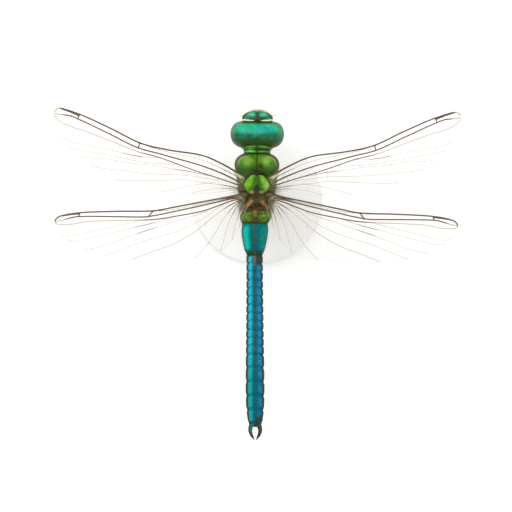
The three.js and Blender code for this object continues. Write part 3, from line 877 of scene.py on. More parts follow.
def thorax_shape():
    """The trunk with its plates, the crest before the wings, the seams of the flanks and all markings, among
    them painted highlights and painted shade.
    """
    grid = thorax_grid()
    x, s, z = np.moveaxis(grid, -1, 0)
    aside = np.abs(x)
    above = rise(z, 0.5, 2.2)
    flank = rise(aside, 2.6, 3.6)
    seams = sum(line_nearness(s, z, *seam, 0.1) for seam in FLANK_SEAMS) * flank
    crest = bell(s, 16.25 + 0.09 * aside, 0.2) * above * rise(aside, 0.2, 0.8)
    keel = bell(x, 0, 0.13) * rise(s, 16.1, 15.4) * above
    gutter = bell(aside, 3.55, 0.35) * rise(s, 16.6, 17.4) * rise(s, 24.3, 23.5) * above
    belly_groove = bell(x, 0, 0.22) * rise(-z, 2.5, 3.5)
    pore = spot(s, z, (12.75, -0.6), (0.28, 0.5)) * flank + spot(s, z, (17.6, -1.2), (0.22, 0.38)) * flank
    front_line = bell(s, 11.02, 0.1)

    height = 0.16 * crest + 0.1 * keel - 0.14 * seams - 0.22 * gutter - 0.2 * belly_groove - 0.18 * pore
    height = height + 0.05 * line_nearness(s, z, (13.2, -5), (18.2, 4), 0.35) * flank
    leaves = leaf_field(aside, s) * rise(z, 3.2, 4.2)
    behind = rise(s, 18.6, 19.6) * rise(s, 24.6, 23.9) * above
    ochre = spot(aside, s, (1.25, 20.2), (0.55, 0.36))
    streaks = line_nearness(aside, s, (1.35, 22.5), (2.8, 24.1), 0.42) * (0.55 + 0.45 * rise(x, -0.5, 0.5))
    middle_line = bell(x, 0, 0.16) * above * rise(s, 17.0, 16.4)
    lines = np.maximum.reduce([0.8 * seams, 0.95 * middle_line, 0.6 * front_line, 0.9 * pore])
    shade = rise(s, 13.0, 15.6) * bell(x, 0, 1.0 + 1.1 * rise(s, 13, 16))
    shade = np.maximum(shade, 0.9 * spot(x, s, (-0.85, 14.3), (0.95, 1.5)))
    shade = np.maximum(shade, rise(s, 15.0, 15.8) * rise(aside, 2.4, 1.4))
    # Painted highlights on the two front lobes.
    glow = np.maximum(spot(x, s, (2.2, 12.9), (1.3, 1.2)), spot(x, s, (-1.8, 12.8), (1.6, 1.4)))
    furrow = bell(x, 0, 0.28 + 0.3 * rise(s, 18.4, 20.0))
    up = facing(grid)[..., 2]
    marks = {
        "glow": glow * above,
        # Painted shade on the rear slopes of the front lobes.
        "dusk": rise(s, 13.8, 16.0) * above * rise(s, 16.6, 16.2) * (1 - 0.5 * rise(aside, 2.2, 3.2)),
        # A painted glint along the shiny ridge of each front lobe.
        "arc": bell(up, 0.64, 0.07) * rise(s, 14.2, 12.8) * rise(z, 0, 1) * rise(aside, 1.6, 2.4),
        # Painted shade on the inner part of each leaf, towards the middle line.
        "leaf_edge": leaves * rise(aside - 0.35 * (s - 16.4), 1.1, 0.1),
        "streak": np.clip(1.2 * streaks, 0, 1) * above,
        # Painted light on the front of the lobes.
        "lobe_front": rise(s, 14.6, 12.0) * above,
        "lobe_side": rise(aside, 1.2, 3.4) * above * rise(s, 16.4, 15.8) * rise(s, 12.4, 14),
        "shade": shade * above * rise(s, 17.0, 16.4),
        # Painted shade: a brown rim where the lobes turn down from above.
        "edge": 0.9 * rise(up, 0.6, 0.34) * rise(z, -1.4, 0.2) * rise(s, 18.0, 16.8) * rise(aside, 1.6, 2.4),
        "leaf": leaves,
        # A painted highlight on the outer rear of the right leaf.
        "gleam": leaves * spot(x, s, (-2.6, 18.7), (0.6, 0.8)),
        "brown": np.clip(behind * (1 - leaves) + rise(s, 16.2, 16.6) * (1 - leaves) * above * 0.55, 0, 1),
        "ochre": np.clip(1.25 * ochre, 0, 1) * above,
        "teal": rise(s, 18.4, 19.4) * furrow * rise(s, 20.3, 19.9) * above,
        "line": np.clip(lines, 0, 1),
        "under": rise(-z, 3.2, 5.2),
        "flank": flank * rise(z, 3.6, 2.4),
    }
    return skin(raised(grid, height), **marks)


def thorax_finish():
    """Green cuticle: yellow-green lobes with painted highlights and painted shade, bright leaves between the
    wings with painted shade inside and a painted highlight, brown and ochre behind.
    """
    f = Finish("thorax_green", Coat_Weight=0.04, Coat_Roughness=0.3, Specular_IOR_Level=0.05)
    cloud = f.cloud(1.3, 5.0)
    colour = f.mix(cloud, tint(38, 78, 14), tint(54, 96, 24))
    colour = f.layers(
        colour,
        cloud,
        ("flank", 1, (92, 140, 38), (124, 168, 54)),
        # Painted light on the front of the lobes.
        ("lobe_front", 1, (62, 116, 20), (84, 138, 34)),
        # Painted highlights on the two front lobes.
        ("glow", 1, (110, 158, 52), (134, 182, 68)),
        ("lobe_side", 0.4, (78, 134, 54)),
        # Painted shade on the rear slopes of the front lobes, and in the middle between them.
        ("dusk", 1, (44, 76, 22), (62, 96, 36)),
        ("shade", 1, (26, 40, 2), (44, 52, 8)),
        # Painted glints along the ridges of the lobes.
        ("arc", 0.5, (176, 176, 136)),
        ("under", 1, (96, 84, 50), (140, 128, 80)),
        # A brown rim of painted shade where the lobes turn down.
        ("edge", 1, (66, 54, 26), (86, 72, 38)),
        ("brown", 1, (44, 34, 18), (84, 70, 40)),
        ("leaf", 1, (88, 158, 26), (124, 186, 56)),
        # Painted shade on the inner part of each leaf.
        ("leaf_edge", 1, (44, 92, 22), (60, 116, 30)),
        # A painted highlight on the right leaf.
        ("gleam", 1, (158, 192, 110)),
        ("teal", 1, (12, 56, 44)),
        ("ochre", 1, (122, 116, 62), (156, 150, 88)),
        ("streak", 1, (152, 112, 54), (184, 140, 80)),
        ("line", 1, (44, 36, 10)),
    )
    colour = f.speckled(colour, 0.22, 2.0, 0.8, 1.16)
    pores = f.bump(f.cells(0.24), 0.02, f.bump(f.noise(0.5, 5.0), 0.05))
    return f.done(colour, f.satin(0.4, 0.3, 0.5), pores)


# ---------------------------------------------------------------- abdomen

ABDOMEN = {"front": 24.6, "back": 76.1, "rise": 1.2, "droop": 0.0017}
RING_BORDERS = [24.6, 27.7, 35.4, 41.4, 47.4, 53.4, 59.3, 65.8, 69.3, 72.7, 76.1]
RING_SWELLS = [1, 1, 3, 3, 3, 3, 2, 1, 1, 1]
# Half widths and half heights by station.
ABDOMEN_WIDTH = [
    (24.6, 3.6), (26, 3.8), (28, 3.3), (30, 3.2), (34, 2.5),
    (36, 2), (50, 2.1), (68, 2.3), (72, 2.2), (76.1, 1.7),
]
ABDOMEN_HEIGHT = [
    (24.6, 3.5), (27.7, 3.35), (32.5, 2.7), (36, 1.85),
    (50, 1.85), (67, 1.95), (72, 1.75), (76.1, 1.35),
]
ABDOMEN_POWER = 2.15  # the n of a ring's oval
# The abdomen's bend: how far to the left behind the trunk, and from which station it comes back, how fast.
BEND = {"left": 0.36, "waist": 34, "back": 0.014}
SEAM = 0.1  # the gap between neighbouring parts
NECK = 0.4  # how far each ring reaches into the one before it
HATCH_SPACING = 0.5  # of the fine lines across a ring
NOTCH = 0.2  # how far a ring is drawn in at each cross ridge


def abdomen_z(s):
    """The height of the abdomen's axis: it droops with the square of the distance from its front."""
    return ABDOMEN["rise"] - ABDOMEN["droop"] * (s - ABDOMEN["front"]) ** 2


def bent(points):
    """Points of the abdomen moved aside: it bends a little to the left behind the trunk, then back."""
    x, s, z = np.moveaxis(points, -1, 0)
    aside = BEND["left"] * rise(s, 24, 28) - BEND["back"] * np.maximum(0, s - BEND["waist"])
    return np.stack([x + aside, s, z], -1)


def ring_shape(number):
    """One abdominal ring: an oval sleeve, drawn in at each cross ridge, with a lip at its hind border.

    The markings are a dark stripe down the middle, cross lines at the ridges and fine lines between them,
    both slanting back towards the middle, dark lower sides and a darker border. Painted light makes the left
    side lighter, and painted shade darkens the right side of the last ring.
    """
    start, end = RING_BORDERS[number] + SEAM / 2, RING_BORDERS[number + 1] - SEAM / 2
    swells = RING_SWELLS[number]
    rows = 14 + int(9 * (end - start))
    s = np.concatenate([steps(4, start - NECK, start - 0.03), steps(rows, start, end)])
    t = np.maximum(0, (s - start) / (end - start)) * swells
    draw = NOTCH * np.abs(np.cos(np.pi * (t % 1))) ** 10
    draw[-1] = NOTCH
    draw[:4] = NOTCH + 0.1
    wide, high = smooth(ABDOMEN_WIDTH, s) - draw, smooth(ABDOMEN_HEIGHT, s) - draw
    grid = oval_rings(s, abdomen_z(s), wide, high, high, ABDOMEN_POWER, 132)
    x, s, z = np.moveaxis(grid, -1, 0)
    over = z - abdomen_z(s)
    aside = np.abs(x) / wide
    above = rise(over / high, -0.1, 0.35)
    lip = rise(s, end - 0.34, end - 0.2) * rise(s, end + 0.02, end - 0.06)
    flank_fold = bell(over / high, -0.32, 0.06)
    belly_groove = bell(x, 0, 0.2 * wide) * rise(-over / high, 0.5, 0.8)
    arch = s + 0.85 * (1 - aside)
    spacing = (end - start) / swells
    to_line = (arch - start + spacing / 2) % spacing - spacing / 2
    cross = bell(to_line, 0, 0.11) * rise(aside, 1.0, 0.8) * rise(aside, 0.12, 0.3) * above
    slant = np.sin(2 * np.pi * (arch + 0.06 * np.sin(4 * s)) / HATCH_SPACING)
    slant = slant * (0.7 + 0.3 * np.sin(3.7 * s + 2.2 * x))
    swell = np.sin(np.pi * (t % 1)) + 0 * x
    stripe_half = 0.11 - 0.08 * rise(s, 36, 35) + 0.02 * rise(s, 62, 66)
    fade = 1 - 0.65 * rise(s, 66, 70)
    height = 0.05 * lip + 0.07 * flank_fold - 0.16 * belly_groove - 0.035 * cross
    height = height + 0.05 * bell(x, 0, 0.12) * above
    if number == 1:
        height = height + 0.3 * fork_height(x, s, over)
    marks = {
        "stripe": rise(aside, stripe_half + 0.11, stripe_half) * above * fade,
        "beside": rise(aside, 0.55, 0.15) * above,
        "rust": rise(aside, 0.2, 0.08) * rise(s, 38.2, 37.2) * rise(s, 34.4, 35.4) * above,
        # Painted shade on the right side of the last ring, which is also darker all round at its very end.
        "dull": rise(-x / wide, -0.2, 0.25) * rise(s, 73.2, 75) + rise(s, 75, 76),
        "cross": cross,
        "slant": rise(slant, 0.1, 0.7) * above * rise(aside, 0.2, 0.35) * swell,
        "dim": rise(-slant, 0.2, 0.8) * above * rise(aside, 0.2, 0.35),
        "side": rise(aside + 0.05 * swell, 0.66, 0.82) * rise(over / high, 0.9, 0.6),
        "under": rise(-over / high, 0.2, 0.45),
        "border": np.maximum(lip, rise(s, start + 0.12, start)),
        "tail": rise(s, 57, 66),
        "ahead": rise(s + 2.1 * rise(x, -0.2, 0.2) - 0.5 * aside**2, 38.0, 37.3),
        # Painted light: the left side of each ring is lighter.
        "bright": rise(x / wide, 0.1, 0.4) * rise(x / wide, 0.95, 0.7) * above,
    }
    if number < 2:
        marks.update(front_ring_marks(number, x, s, over, wide))
    return skin(bent(raised(grid, height)), **marks)


def fork_height(x, s, over):
    """The lobes under the second ring, two rounded ridges beside a furrow."""
    ridges = bell(np.abs(x), 0.75, 0.3) * rise(s, 29.2, 30.2) * rise(s, 34.4, 33.4)
    return ridges * rise(-over, 1.6, 2.4)


def front_ring_marks(number, x, s, over, wide):
    """The markings of the first two rings: green with an ochre spot, and teal in two long lobes."""
    above = rise(over, -0.2, 1.0)
    side = 0.9 * rise(np.abs(x) / wide, 0.86, 0.98) * rise(over, 2.4, 1.2)
    if number == 0:
        return {
            "ochre": bell(x, 0.2, 0.42) * rise(s, 26.4, 25.9) * above,
            "patch": spot(np.abs(x), s, (2.4, 26.0), (1.1, 1.0)) * above,
            "shade": bell(x, 0, 0.8) * above,
            "green": np.ones_like(x),
            "side": side,
        }
    ends = rise(s + 0.9 * bell(np.abs(x) / wide, 0.1, 0.35), 34.9, 33.6) * rise(s, 27.6, 29.2)
    lobes = rise(np.abs(x) / wide, 0.25, 0.7) * rise(np.abs(x) / wide, 1.0, 0.86)
    last = rise(s, 33.6, 35.0) * above
    return {"lobe": lobes * ends * above, "green": np.zeros_like(x), "last": last, "side": side}


def front_ring_finish():
    """The two rings behind the trunk: mottled green, then deep teal lobes with an olive line between,
    lighter on the left with painted light.
    """
    f = Finish("front_ring_teal", Coat_Weight=0.03, Coat_Roughness=0.3, Specular_IOR_Level=0.03)
    cloud = f.cloud(0.9, 5.0)
    teal = f.mix(cloud, tint(0, 88, 86), tint(0, 104, 112))
    teal = f.mix(f.mark("lobe"), teal, f.mix(cloud, tint(2, 118, 104), tint(6, 140, 136)))
    # Painted light: the lobes are lighter on the left side.
    shine = f.times(f.mark("bright"), f.mark("lobe"))
    teal = f.mix(shine, teal, f.mix(cloud, tint(2, 186, 150), tint(4, 190, 182)))
    teal = f.mix(f.mark("last"), teal, f.mix(cloud, tint(18, 70, 46), tint(40, 76, 56)))
    green = f.mix(cloud, tint(46, 66, 16), tint(84, 112, 34))
    mottle = f.ramp(f.noise(0.45, 4.0), 0.42, 0.58)
    green = f.mix(f.mark("patch"), green, f.mix(mottle, tint(60, 92, 20), tint(124, 162, 62)))
    green = f.mix(f.mark("shade"), green, tint(52, 50, 20))
    colour = f.mix(f.mark("green"), teal, green)
    colour = f.layers(
        colour,
        cloud,
        ("under", 1, (88, 80, 50), (124, 118, 76)),
        ("side", 0.8, (54, 62, 34)),
        ("stripe", 0.8, (66, 70, 46)),
        ("ochre", 1, (110, 88, 36), (164, 118, 56)),
        ("border", 0.7, (52, 46, 24)),
    )
    colour = f.speckled(colour, 0.2, 2.0, 0.84, 1.14)
    pores = f.bump(f.cells(0.2), 0.014, f.bump(f.noise(0.4, 5.0), 0.03))
    return f.done(colour, f.satin(0.4, 0.26, 0.42), pores)


def ring_finish():
    """Blue rings, teal towards the tail: a dark stripe, dark cross lines and fine pale slanting lines,
    lighter on the left with painted light and darker on the right of the last ring with painted shade.
    """
    f = Finish("ring_blue", Coat_Weight=0.03, Coat_Roughness=0.3, Specular_IOR_Level=0.03)
    cloud = f.cloud(0.8, 5.0)
    blue = f.mix(cloud, tint(4, 112, 158), tint(10, 132, 188))
    teal = f.mix(cloud, tint(0, 100, 128), tint(8, 116, 156))
    colour = f.mix(f.mark("tail"), blue, teal)
    light = f.mix(f.mark("tail"), f.mix(cloud, tint(6, 180, 194), tint(26, 202, 226)), tint(0, 164, 164))
    # Painted light on the left side.
    colour = f.mix(f.times(f.mark("bright"), 0.95), colour, light)
    colour = f.layers(
        colour,
        cloud,
        ("slant", 0.4, (70, 210, 236)),
        ("dim", 0.5, (0, 78, 104)),
        ("beside", 0.7, (6, 86, 98)),
        ("ahead", 1, (50, 66, 58)),
        # Painted shade on the right side of the last ring, which is also darker all round at its very end.
        ("dull", 1, (40, 58, 54), (60, 72, 66)),
        ("side", 1, (52, 58, 48), (70, 70, 50)),
        ("under", 1, (58, 54, 44), (92, 88, 70)),
        ("cross", 0.75, (2, 62, 80)),
    )
    stripe = f.mix(cloud, tint(38, 76, 68), tint(58, 88, 80))
    colour = f.mix(f.mark("stripe"), colour, f.mix(f.mark("tail"), stripe, tint(18, 90, 92)))
    colour = f.layers(
        colour,
        None,
        ("rust", 1, (116, 86, 60)),
        ("border", 0.12, (40, 62, 52)),
    )
    pores = f.bump(f.cells(0.18), 0.012, f.bump(f.noise(0.3, 5.0), 0.025))
    return f.done(colour, f.satin(0.4, 0.26, 0.42), pores)


# ---------------------------------------------------------------- claspers

LOWER_CLASPER_END = 76.95  # the station of its tip
CLASPER_MIDDLE = [(0, 0.8), (0.4, 1.2), (0.75, 0.85), (1, 0.25)]
CLASPER_HALF = [(0, 0.7), (0.4, 0.5), (0.75, 0.4), (1, 0.12)]
CLASPER_RISE = 0.28  # half the height of its oval section
CLASPER_TEAL = {"left": 0.8, "right": 0.15, "lower": 0.2}  # how much of the teal shows


def upper_clasper_shape():
    """A broad leaf that bows outwards and closes towards its fellow, with a rib along it.

    Its middle line and its half width follow two smooth curves from root to tip, and its section is an oval.
    """
    t = steps(90, -0.04)
    s = ABDOMEN["back"] + SEAM / 2 + (BODY_LENGTH - ABDOMEN["back"] - SEAM / 2) * t
    t = np.maximum(0, t)
    turn = turns(48)
    x = smooth(CLASPER_MIDDLE, t) + smooth(CLASPER_HALF, t) * np.cos(turn)
    rib = 0.1 * bell(np.cos(turn), 0, 0.22) * (np.sin(turn) > 0)
    z = abdomen_z(s) + 0.35 + CLASPER_RISE * rise(t, 1.1, 0.8) * np.sin(turn) + rib * rise(t, 1.0, 0.85)
    grid = np.stack([x, s + 0 * turn, z], -1)
    edge = rise(np.abs(np.cos(turn)), 0.5, 0.95)
    inner = 0.4 + 0.6 * rise(np.cos(turn), 0.3, -0.4)
    return skin(grid, teal=rise(t, 0.9, 0.3) * inner * (1 - 0.7 * edge))


def lower_clasper_shape():
    """The short plate under the claspers, an oval bar with a square tip and a furrow along it."""
    s = steps(40, ABDOMEN["back"] + SEAM / 2, LOWER_CLASPER_END)
    t = (s - s[0]) / (s[-1] - s[0])
    grid = oval_rings(s, abdomen_z(s) - 0.75, 0.85 - 0.4 * t, 0.26, 0.26, 2.4, 60)
    furrow = -0.08 * bell(grid[..., 0], 0, 0.2)
    return skin(bent(raised(grid, furrow)), teal=0.2)


def clasper_finish(name, share):
    """Dark brown cuticle with teal on it to a given share of the marking."""
    f = Finish(name, Coat_Weight=0.15, Coat_Roughness=0.2, Specular_IOR_Level=0.2)
    colour = f.mix(f.cloud(0.5), tint(42, 38, 30), tint(60, 56, 46))
    colour = f.mix(f.times(f.mark("teal"), share), colour, tint(30, 124, 128))
    return f.done(colour, f.satin(0.3, 0.28, 0.44), f.bump(f.noise(0.16), 0.02))


# ---------------------------------------------------------------- wings

# Each wing lies between a leading and a trailing edge, given by points [x, station] from root to tip.
# Its dihedral is in degrees. `stretches` are darker stretches of a vein between two places u, `dark_to` has
# the two places u between which a vein's dark inner part ends, and `stubs` are short cross veins: u, and
# the first and last c. `stigma` has the two ends of the coloured cell, and `nodus` its place and its lean.
# A vein is named with its weight and its course: pairs [u, c], with u from the root (0) to the tip (1)
# in equal steps of x along the leading edge, and c from the leading edge (0) to the trailing edge (1).
# A course has a pair where the vein starts and ends, and one where it bends: near the root, a quarter of
# the way out, at the nodus, and before the tip.
WINGS = {
    "forewing": {
        "leading": [
            (2.2, 17), (8.5, 13.5), (13.5, 11.5), (21, 10.4), (28, 8.8),
            (35, 5.4), (42, 2.2), (47.2, 0.6), (48.5, 1.5),
        ],
        "trailing": [
            (2.2, 19.3), (8.2, 20.2), (15.0, 20.8), (22.5, 20.5), (30.5, 18.9),
            (37.5, 15.8), (43.6, 11.3), (47.4, 6.2), (48.75, 2.8),
        ],
        "root_z": 4.75,
        "dihedral": 4,
        "nodus": (0.56, 0),
        "root_patch": (0.088, 0.75),
        "stigma": (0.87, 0.98),
        "dark_to": {"costa": (0.98, 0.965), "radius": (0.97, 0.94), "sector": (0.6, 0.5)},
        "stretches": [("second", 0.5, 0.65), ("sector", 0.6, 0.7), ("third", 0.2, 0.4)],
        "stubs": [(0.3, 0.45, 0.62), (0.25, 0, 0.25)],
        "veins": {
            "costa": (0.15, [(0, 0), (0.6, 0), (1, 0.02)]),
            "subcosta": (0.06, [(0, 0.35), (0.1, 0.2), (0.25, 0.11), (0.56, 0)]),
            "radius": (0.13, [(0, 0.7), (0.1, 0.4), (0.25, 0.25), (0.5, 0.12), (0.9, 0.15), (1, 0.35)]),
            "sector": (0.1, [(0, 0.85), (0.1, 0.62), (0.25, 0.42), (0.5, 0.2), (0.8, 0.32), (1, 0.6)]),
            "second": (0.055, [(0.45, 0.22), (0.65, 0.4), (0.8, 0.62), (0.95, 1)]),
            "between": (0.055, [(0.35, 0.3), (0.6, 0.46), (0.8, 0.76), (0.9, 1)]),
            "third": (0.055, [(0.2, 0.5), (0.3, 0.44), (0.45, 0.42), (0.65, 0.6), (0.84, 1)]),
            "median": (0.055, [(0.15, 0.6), (0.3, 0.55), (0.55, 0.68), (0.76, 1)]),
            "hind_median": (0.06, [(0, 0.96), (0.15, 0.75), (0.3, 0.66), (0.45, 0.76), (0.63, 1)]),
            "cubital": (0.05, [(0.18, 0.7), (0.3, 0.83), (0.41, 1)]),
            "anal": (0.045, [(0.03, 0.97), (0.15, 0.88), (0.28, 1)]),
        },
    },
    "hindwing": {
        "leading": [
            (2.2, 20.5), (6.5, 21.4), (13, 22.7), (19.5, 24), (25, 25),
            (33.5, 25.2), (42, 25.6), (47, 26.5), (48.3, 27.7),
        ],
        "trailing": [
            (2.2, 23.8), (5.0, 30.6), (9.4, 35.0), (17.0, 36.4), (26.0, 36.8),
            (34.5, 36.2), (42.0, 34.0), (46.8, 30.9), (48.3, 28.5),
        ],
        "root_z": 4.6,
        "dihedral": 1.5,
        "nodus": (0.49, 0.02),
        "root_patch": (0.06, 0.9),
        "stigma": (0.87, 0.98),
        "dark_to": {"costa": (1.01, 1), "radius": (0.96, 0.93), "sector": (0.6, 0.5)},
        "stretches": [("between", 0.45, 0.6), ("third", 0.45, 0.58), ("hind_median", 0.04, 0.18)],
        "stubs": [(0.25, 0.38, 0.48)],
        "veins": {
            "costa": (0.15, [(0, 0), (1, 0)]),
            "subcosta": (0.06, [(0, 0.09), (0.1, 0.03), (0.4, 0.04), (0.49, 0)]),
            "radius": (0.13, [(0, 0.16), (0.1, 0.06), (0.45, 0.09), (0.55, 0.12), (0.88, 0.11), (1, 0.3)]),
            "sector": (0.11, [(0, 0.3), (0.08, 0.12), (0.25, 0.17), (0.5, 0.18), (0.8, 0.23), (1, 0.5)]),
            "second": (0.055, [(0.56, 0.2), (0.75, 0.41), (0.88, 0.65), (0.97, 1)]),
            "between": (0.055, [(0.42, 0.19), (0.6, 0.36), (0.8, 0.64), (0.94, 1)]),
            "third": (0.055, [(0.22, 0.19), (0.4, 0.28), (0.55, 0.45), (0.84, 1)]),
            "median": (0.055, [(0.13, 0.14), (0.3, 0.36), (0.55, 0.66), (0.72, 1)]),
            "hind_median": (0.08, [(0, 0.4), (0.06, 0.2), (0.2, 0.33), (0.3, 0.5), (0.57, 1)]),
            "cubital": (0.06, [(0.04, 0.22), (0.12, 0.38), (0.23, 0.68), (0.34, 1)]),
            "hind_cubital": (0.055, [(0.04, 0.26), (0.1, 0.5), (0.21, 1)]),
            "anal": (0.055, [(0, 0.6), (0.03, 0.5), (0.07, 0.7), (0.12, 1)]),
            "hind_anal": (0.05, [(0, 0.8), (0.03, 0.76), (0.065, 1)]),
        },
    },
}

FILM_HALF = 0.012  # half the thickness of the film
RIPPLE = 0.1  # how far the film rises and falls between the leading veins
CELL = {"front": (1.35, 9.0), "middle": (0.86, 0.8), "hind": (0.66, 0.6)}  # length and height of cells
FRONT_VEINS = ("costa", "subcosta", "radius")
DARK_REACH = 8.0  # the veins are dark out to this distance from the wing's root
VEIN_RADIUS = 1.3  # the radius of a long vein for each unit of its weight
EDGE_RADIUS = 0.026  # of the fine vein round the hind edge
NET_RADIUS = {"front": 0.02, "middle": 0.015, "hind": 0.013}
SHORTEST = 0.07  # shorter pieces of the net are left out


class WingPlan:
    """Places on one wing, from the fractions u and c, with the film's ripple."""

    def __init__(self, wing):
        t = np.linspace(0, 1, 2001)
        self.front, self.back = through(wing["leading"], t), through(wing["trailing"], t)
        self.root, self.span = self.front[0, 0], self.front[-1, 0] - self.front[0, 0]
        self.u = (self.front[:, 0] - self.root) / self.span
        self.wing = wing
        self.tilt = np.tan(np.radians(wing["dihedral"]))

    def course(self, name, u):
        """Where a vein lies, as c, at the places u."""
        return smooth(self.wing["veins"][name][1], u)

    def chord(self, u):
        """The width of the wing at u, in millimetres."""
        return np.interp(u, self.u, np.linalg.norm(self.back - self.front, axis=1))

    def ripple(self, u, c):
        """The film's rise: a cosine with its first crests on the costa and the radius, dying out behind."""
        phase = c / self.course("radius", u)
        return RIPPLE * np.cos(2 * np.pi * phase) * np.exp(-((phase / 2.2) ** 2)) * rise(u, 0, 0.05)

    def at(self, u, c, up=0.0):
        """Points [x, station, z] at u and c, raised over the film by up."""
        u, c = np.broadcast_arrays(u, c)
        front = np.stack([np.interp(u, self.u, self.front[:, k]) for k in (0, 1)], -1)
        back = np.stack([np.interp(u, self.u, self.back[:, k]) for k in (0, 1)], -1)
        flat = front + (back - front) * c[..., None]
        z = self.wing["root_z"] + self.tilt * (flat[..., 0] - self.root) + self.ripple(u, c) + up
        return np.concatenate([flat, z[..., None]], -1)


def film_shape(plan):
    """The clear film: a thin closed slab over the whole wing."""
    across = np.linspace(0, 1, 46) ** 1.5
    c = np.concatenate([across, across[::-1]])[None, :]
    up = np.repeat([FILM_HALF, -FILM_HALF], len(across))[None, :]
    u = steps(110)
    return skin(plan.at(u + 0 * c, c + 0 * u, up), lead=rise(c, 0.3, 0.02), root=rise(u, 0.14, 0.02))


def root_nearness(plan, points):
    """1 near the wing's root, going to 0 at the end of the dark reach."""
    reach = np.linalg.norm(points[..., :2] - plan.front[0], axis=-1)
    return rise(reach, DARK_REACH, DARK_REACH - 2.5)


def main_veins(plan):
    """The long veins as tubes that thin out along their course, and the fine one round the hind edge."""
    shapes = []
    for name, (weight, course) in plan.wing["veins"].items():
        u = np.linspace(course[0][0], course[-1][0], 150)
        path = plan.at(u, plan.course(name, u))
        near = root_nearness(plan, path)
        radius = VEIN_RADIUS * weight * (1 - 0.08 * u) * (1 + 0.1 * near)
        dark_to = plan.wing["dark_to"].get(name, (0, -1))
        shade = np.maximum(near, 0.12 + 0.85 * rise(u, *dark_to))
        shapes.append(tube(path, radius, sides=6, flatness=0.9, dark=shade))
    u = np.concatenate([np.linspace(0, 1, 220), np.ones(12)])
    c = np.concatenate([np.ones(220), np.linspace(1, 0, 12)])
    path = plan.at(u, c)
    shapes.append(tube(path[:-1], EDGE_RADIUS, sides=5, dark=0.2))
    return shapes


def facing_stretches(plan):
    """Each pair of neighbouring veins, with the stretches of u over which nothing lies between them."""
    u = np.linspace(0.004, 0.996, 700)
    courses = {name: course for name, (_, course) in plan.wing["veins"].items()}
    names = list(courses) + ["edge"]
    c = np.array([np.where((u >= v[0][0]) & (u <= v[-1][0]), smooth(v, u), 9) for v in courses.values()])
    c = np.vstack([c, np.ones_like(u)])
    rank = np.argsort(np.argsort(c, axis=0), axis=0)
    for i, upper in enumerate(names):
        for j, lower in enumerate(names):
            both = (c[i] < 9) & (c[j] < 9) & (rank[j] == rank[i] + 1)
            ends = np.flatnonzero(np.diff(np.concatenate([[0], both, [0]])))
            for low, high in zip(ends[::2], ends[1::2]):
                yield upper, lower, u[low], u[high - 1]


def net_between(plan, upper, lower, low, high):
    """The small veins between two long ones: a ladder where they lie close, and a honeycomb where not.

    The stretch is cut into half-cell columns. Inner lines zigzag from column to column, and the rungs
    between two lines stand on every second column, shifted by one from row to row, so that the cells
    come out six-sided. Where the number of rows changes, one rung crosses the whole strip.
    """
    front = upper in FRONT_VEINS and lower in FRONT_VEINS + ("sector",)
    kind = "front" if front else "middle" if "sector" in (upper, lower) else "hind"
    length, height = CELL[kind]
    columns = int(round((high - low) * plan.span / (length / 2)))
    if columns < 2:
        return None
    u = np.linspace(low, high, columns + 1)
    edges = [np.ones_like(u) if name == "edge" else plan.course(name, u) for name in (upper, lower)]
    width = (edges[1] - edges[0]) * plan.chord(u)
    blocks = np.arange(columns + 1) // 4 * 4 + 2
    rows = np.maximum(1, np.round(width[np.minimum(blocks, columns)] / height)).astype(int)
    starts = np.concatenate([[0], np.flatnonzero(np.diff(rows)) + 1, [columns]])
    pairs = []
    for begin, finish in zip(starts[:-1], starts[1:]):
        if finish <= begin:
            continue
        count = rows[begin]
        k, j = np.arange(begin, finish + 1)[:, None], np.arange(count + 1)[None, :]
        inside = (j > 0) & (j < count) & (k > begin) & (k < finish)
        zigzag = np.where((k + j) % 2 == 0, 0.2, -0.2) + rng.uniform(-0.1, 0.1, (len(k), count + 1))
        share = (j + zigzag * inside) / count
        shift = rng.uniform(-0.3, 0.3, (len(k), count + 1)) * (k > begin) * (k < finish)
        at_u = u[k] + shift * (u[1] - u[0])
        at_c = np.interp(at_u, u, edges[0]) * (1 - share) + np.interp(at_u, u, edges[1]) * share
        points = plan.at(at_u, at_c)
        along = (points[:-1, 1:-1].reshape(-1, 3), points[1:, 1:-1].reshape(-1, 3))
        rung = ((k + j[:, :-1]) % 2 == 0) & (k < finish) | (k == begin)
        across = (points[:, :-1][rung], points[:, 1:][rung])
        pairs += [along, across]
    near = np.concatenate([p[0] for p in pairs])
    far = np.concatenate([p[1] for p in pairs])
    long_enough = np.linalg.norm(far - near, axis=1) > SHORTEST
    near, far = near[long_enough], far[long_enough]
    return rods(near, far, NET_RADIUS[kind], dark=0.5 * root_nearness(plan, near))


def stigma_shape(plan):
    """The thick coloured cell near the tip: a low closed cushion along the costa that narrows outwards.

    With t from its inner end to its outer one, it reaches from the costa to 0.44 (1 - t)^0.7 + 0.08 of the
    way to the radius.
    """
    low, high = plan.wing["stigma"]
    u = steps(60, low, high)
    t = (u - low) / (high - low)
    turn = turns(28)
    costa, radius = plan.course("costa", u), plan.course("radius", u)
    half = (0.22 * (1 - t) ** 0.7 + 0.04) * (radius - costa)
    c = costa + half + half * np.cos(turn)
    slant = 0.004 * np.cos(turn) * (1 - t)
    return skin(plan.at(u + slant, c, 0.06 * np.sin(turn) * (1 - 0.6 * t)))


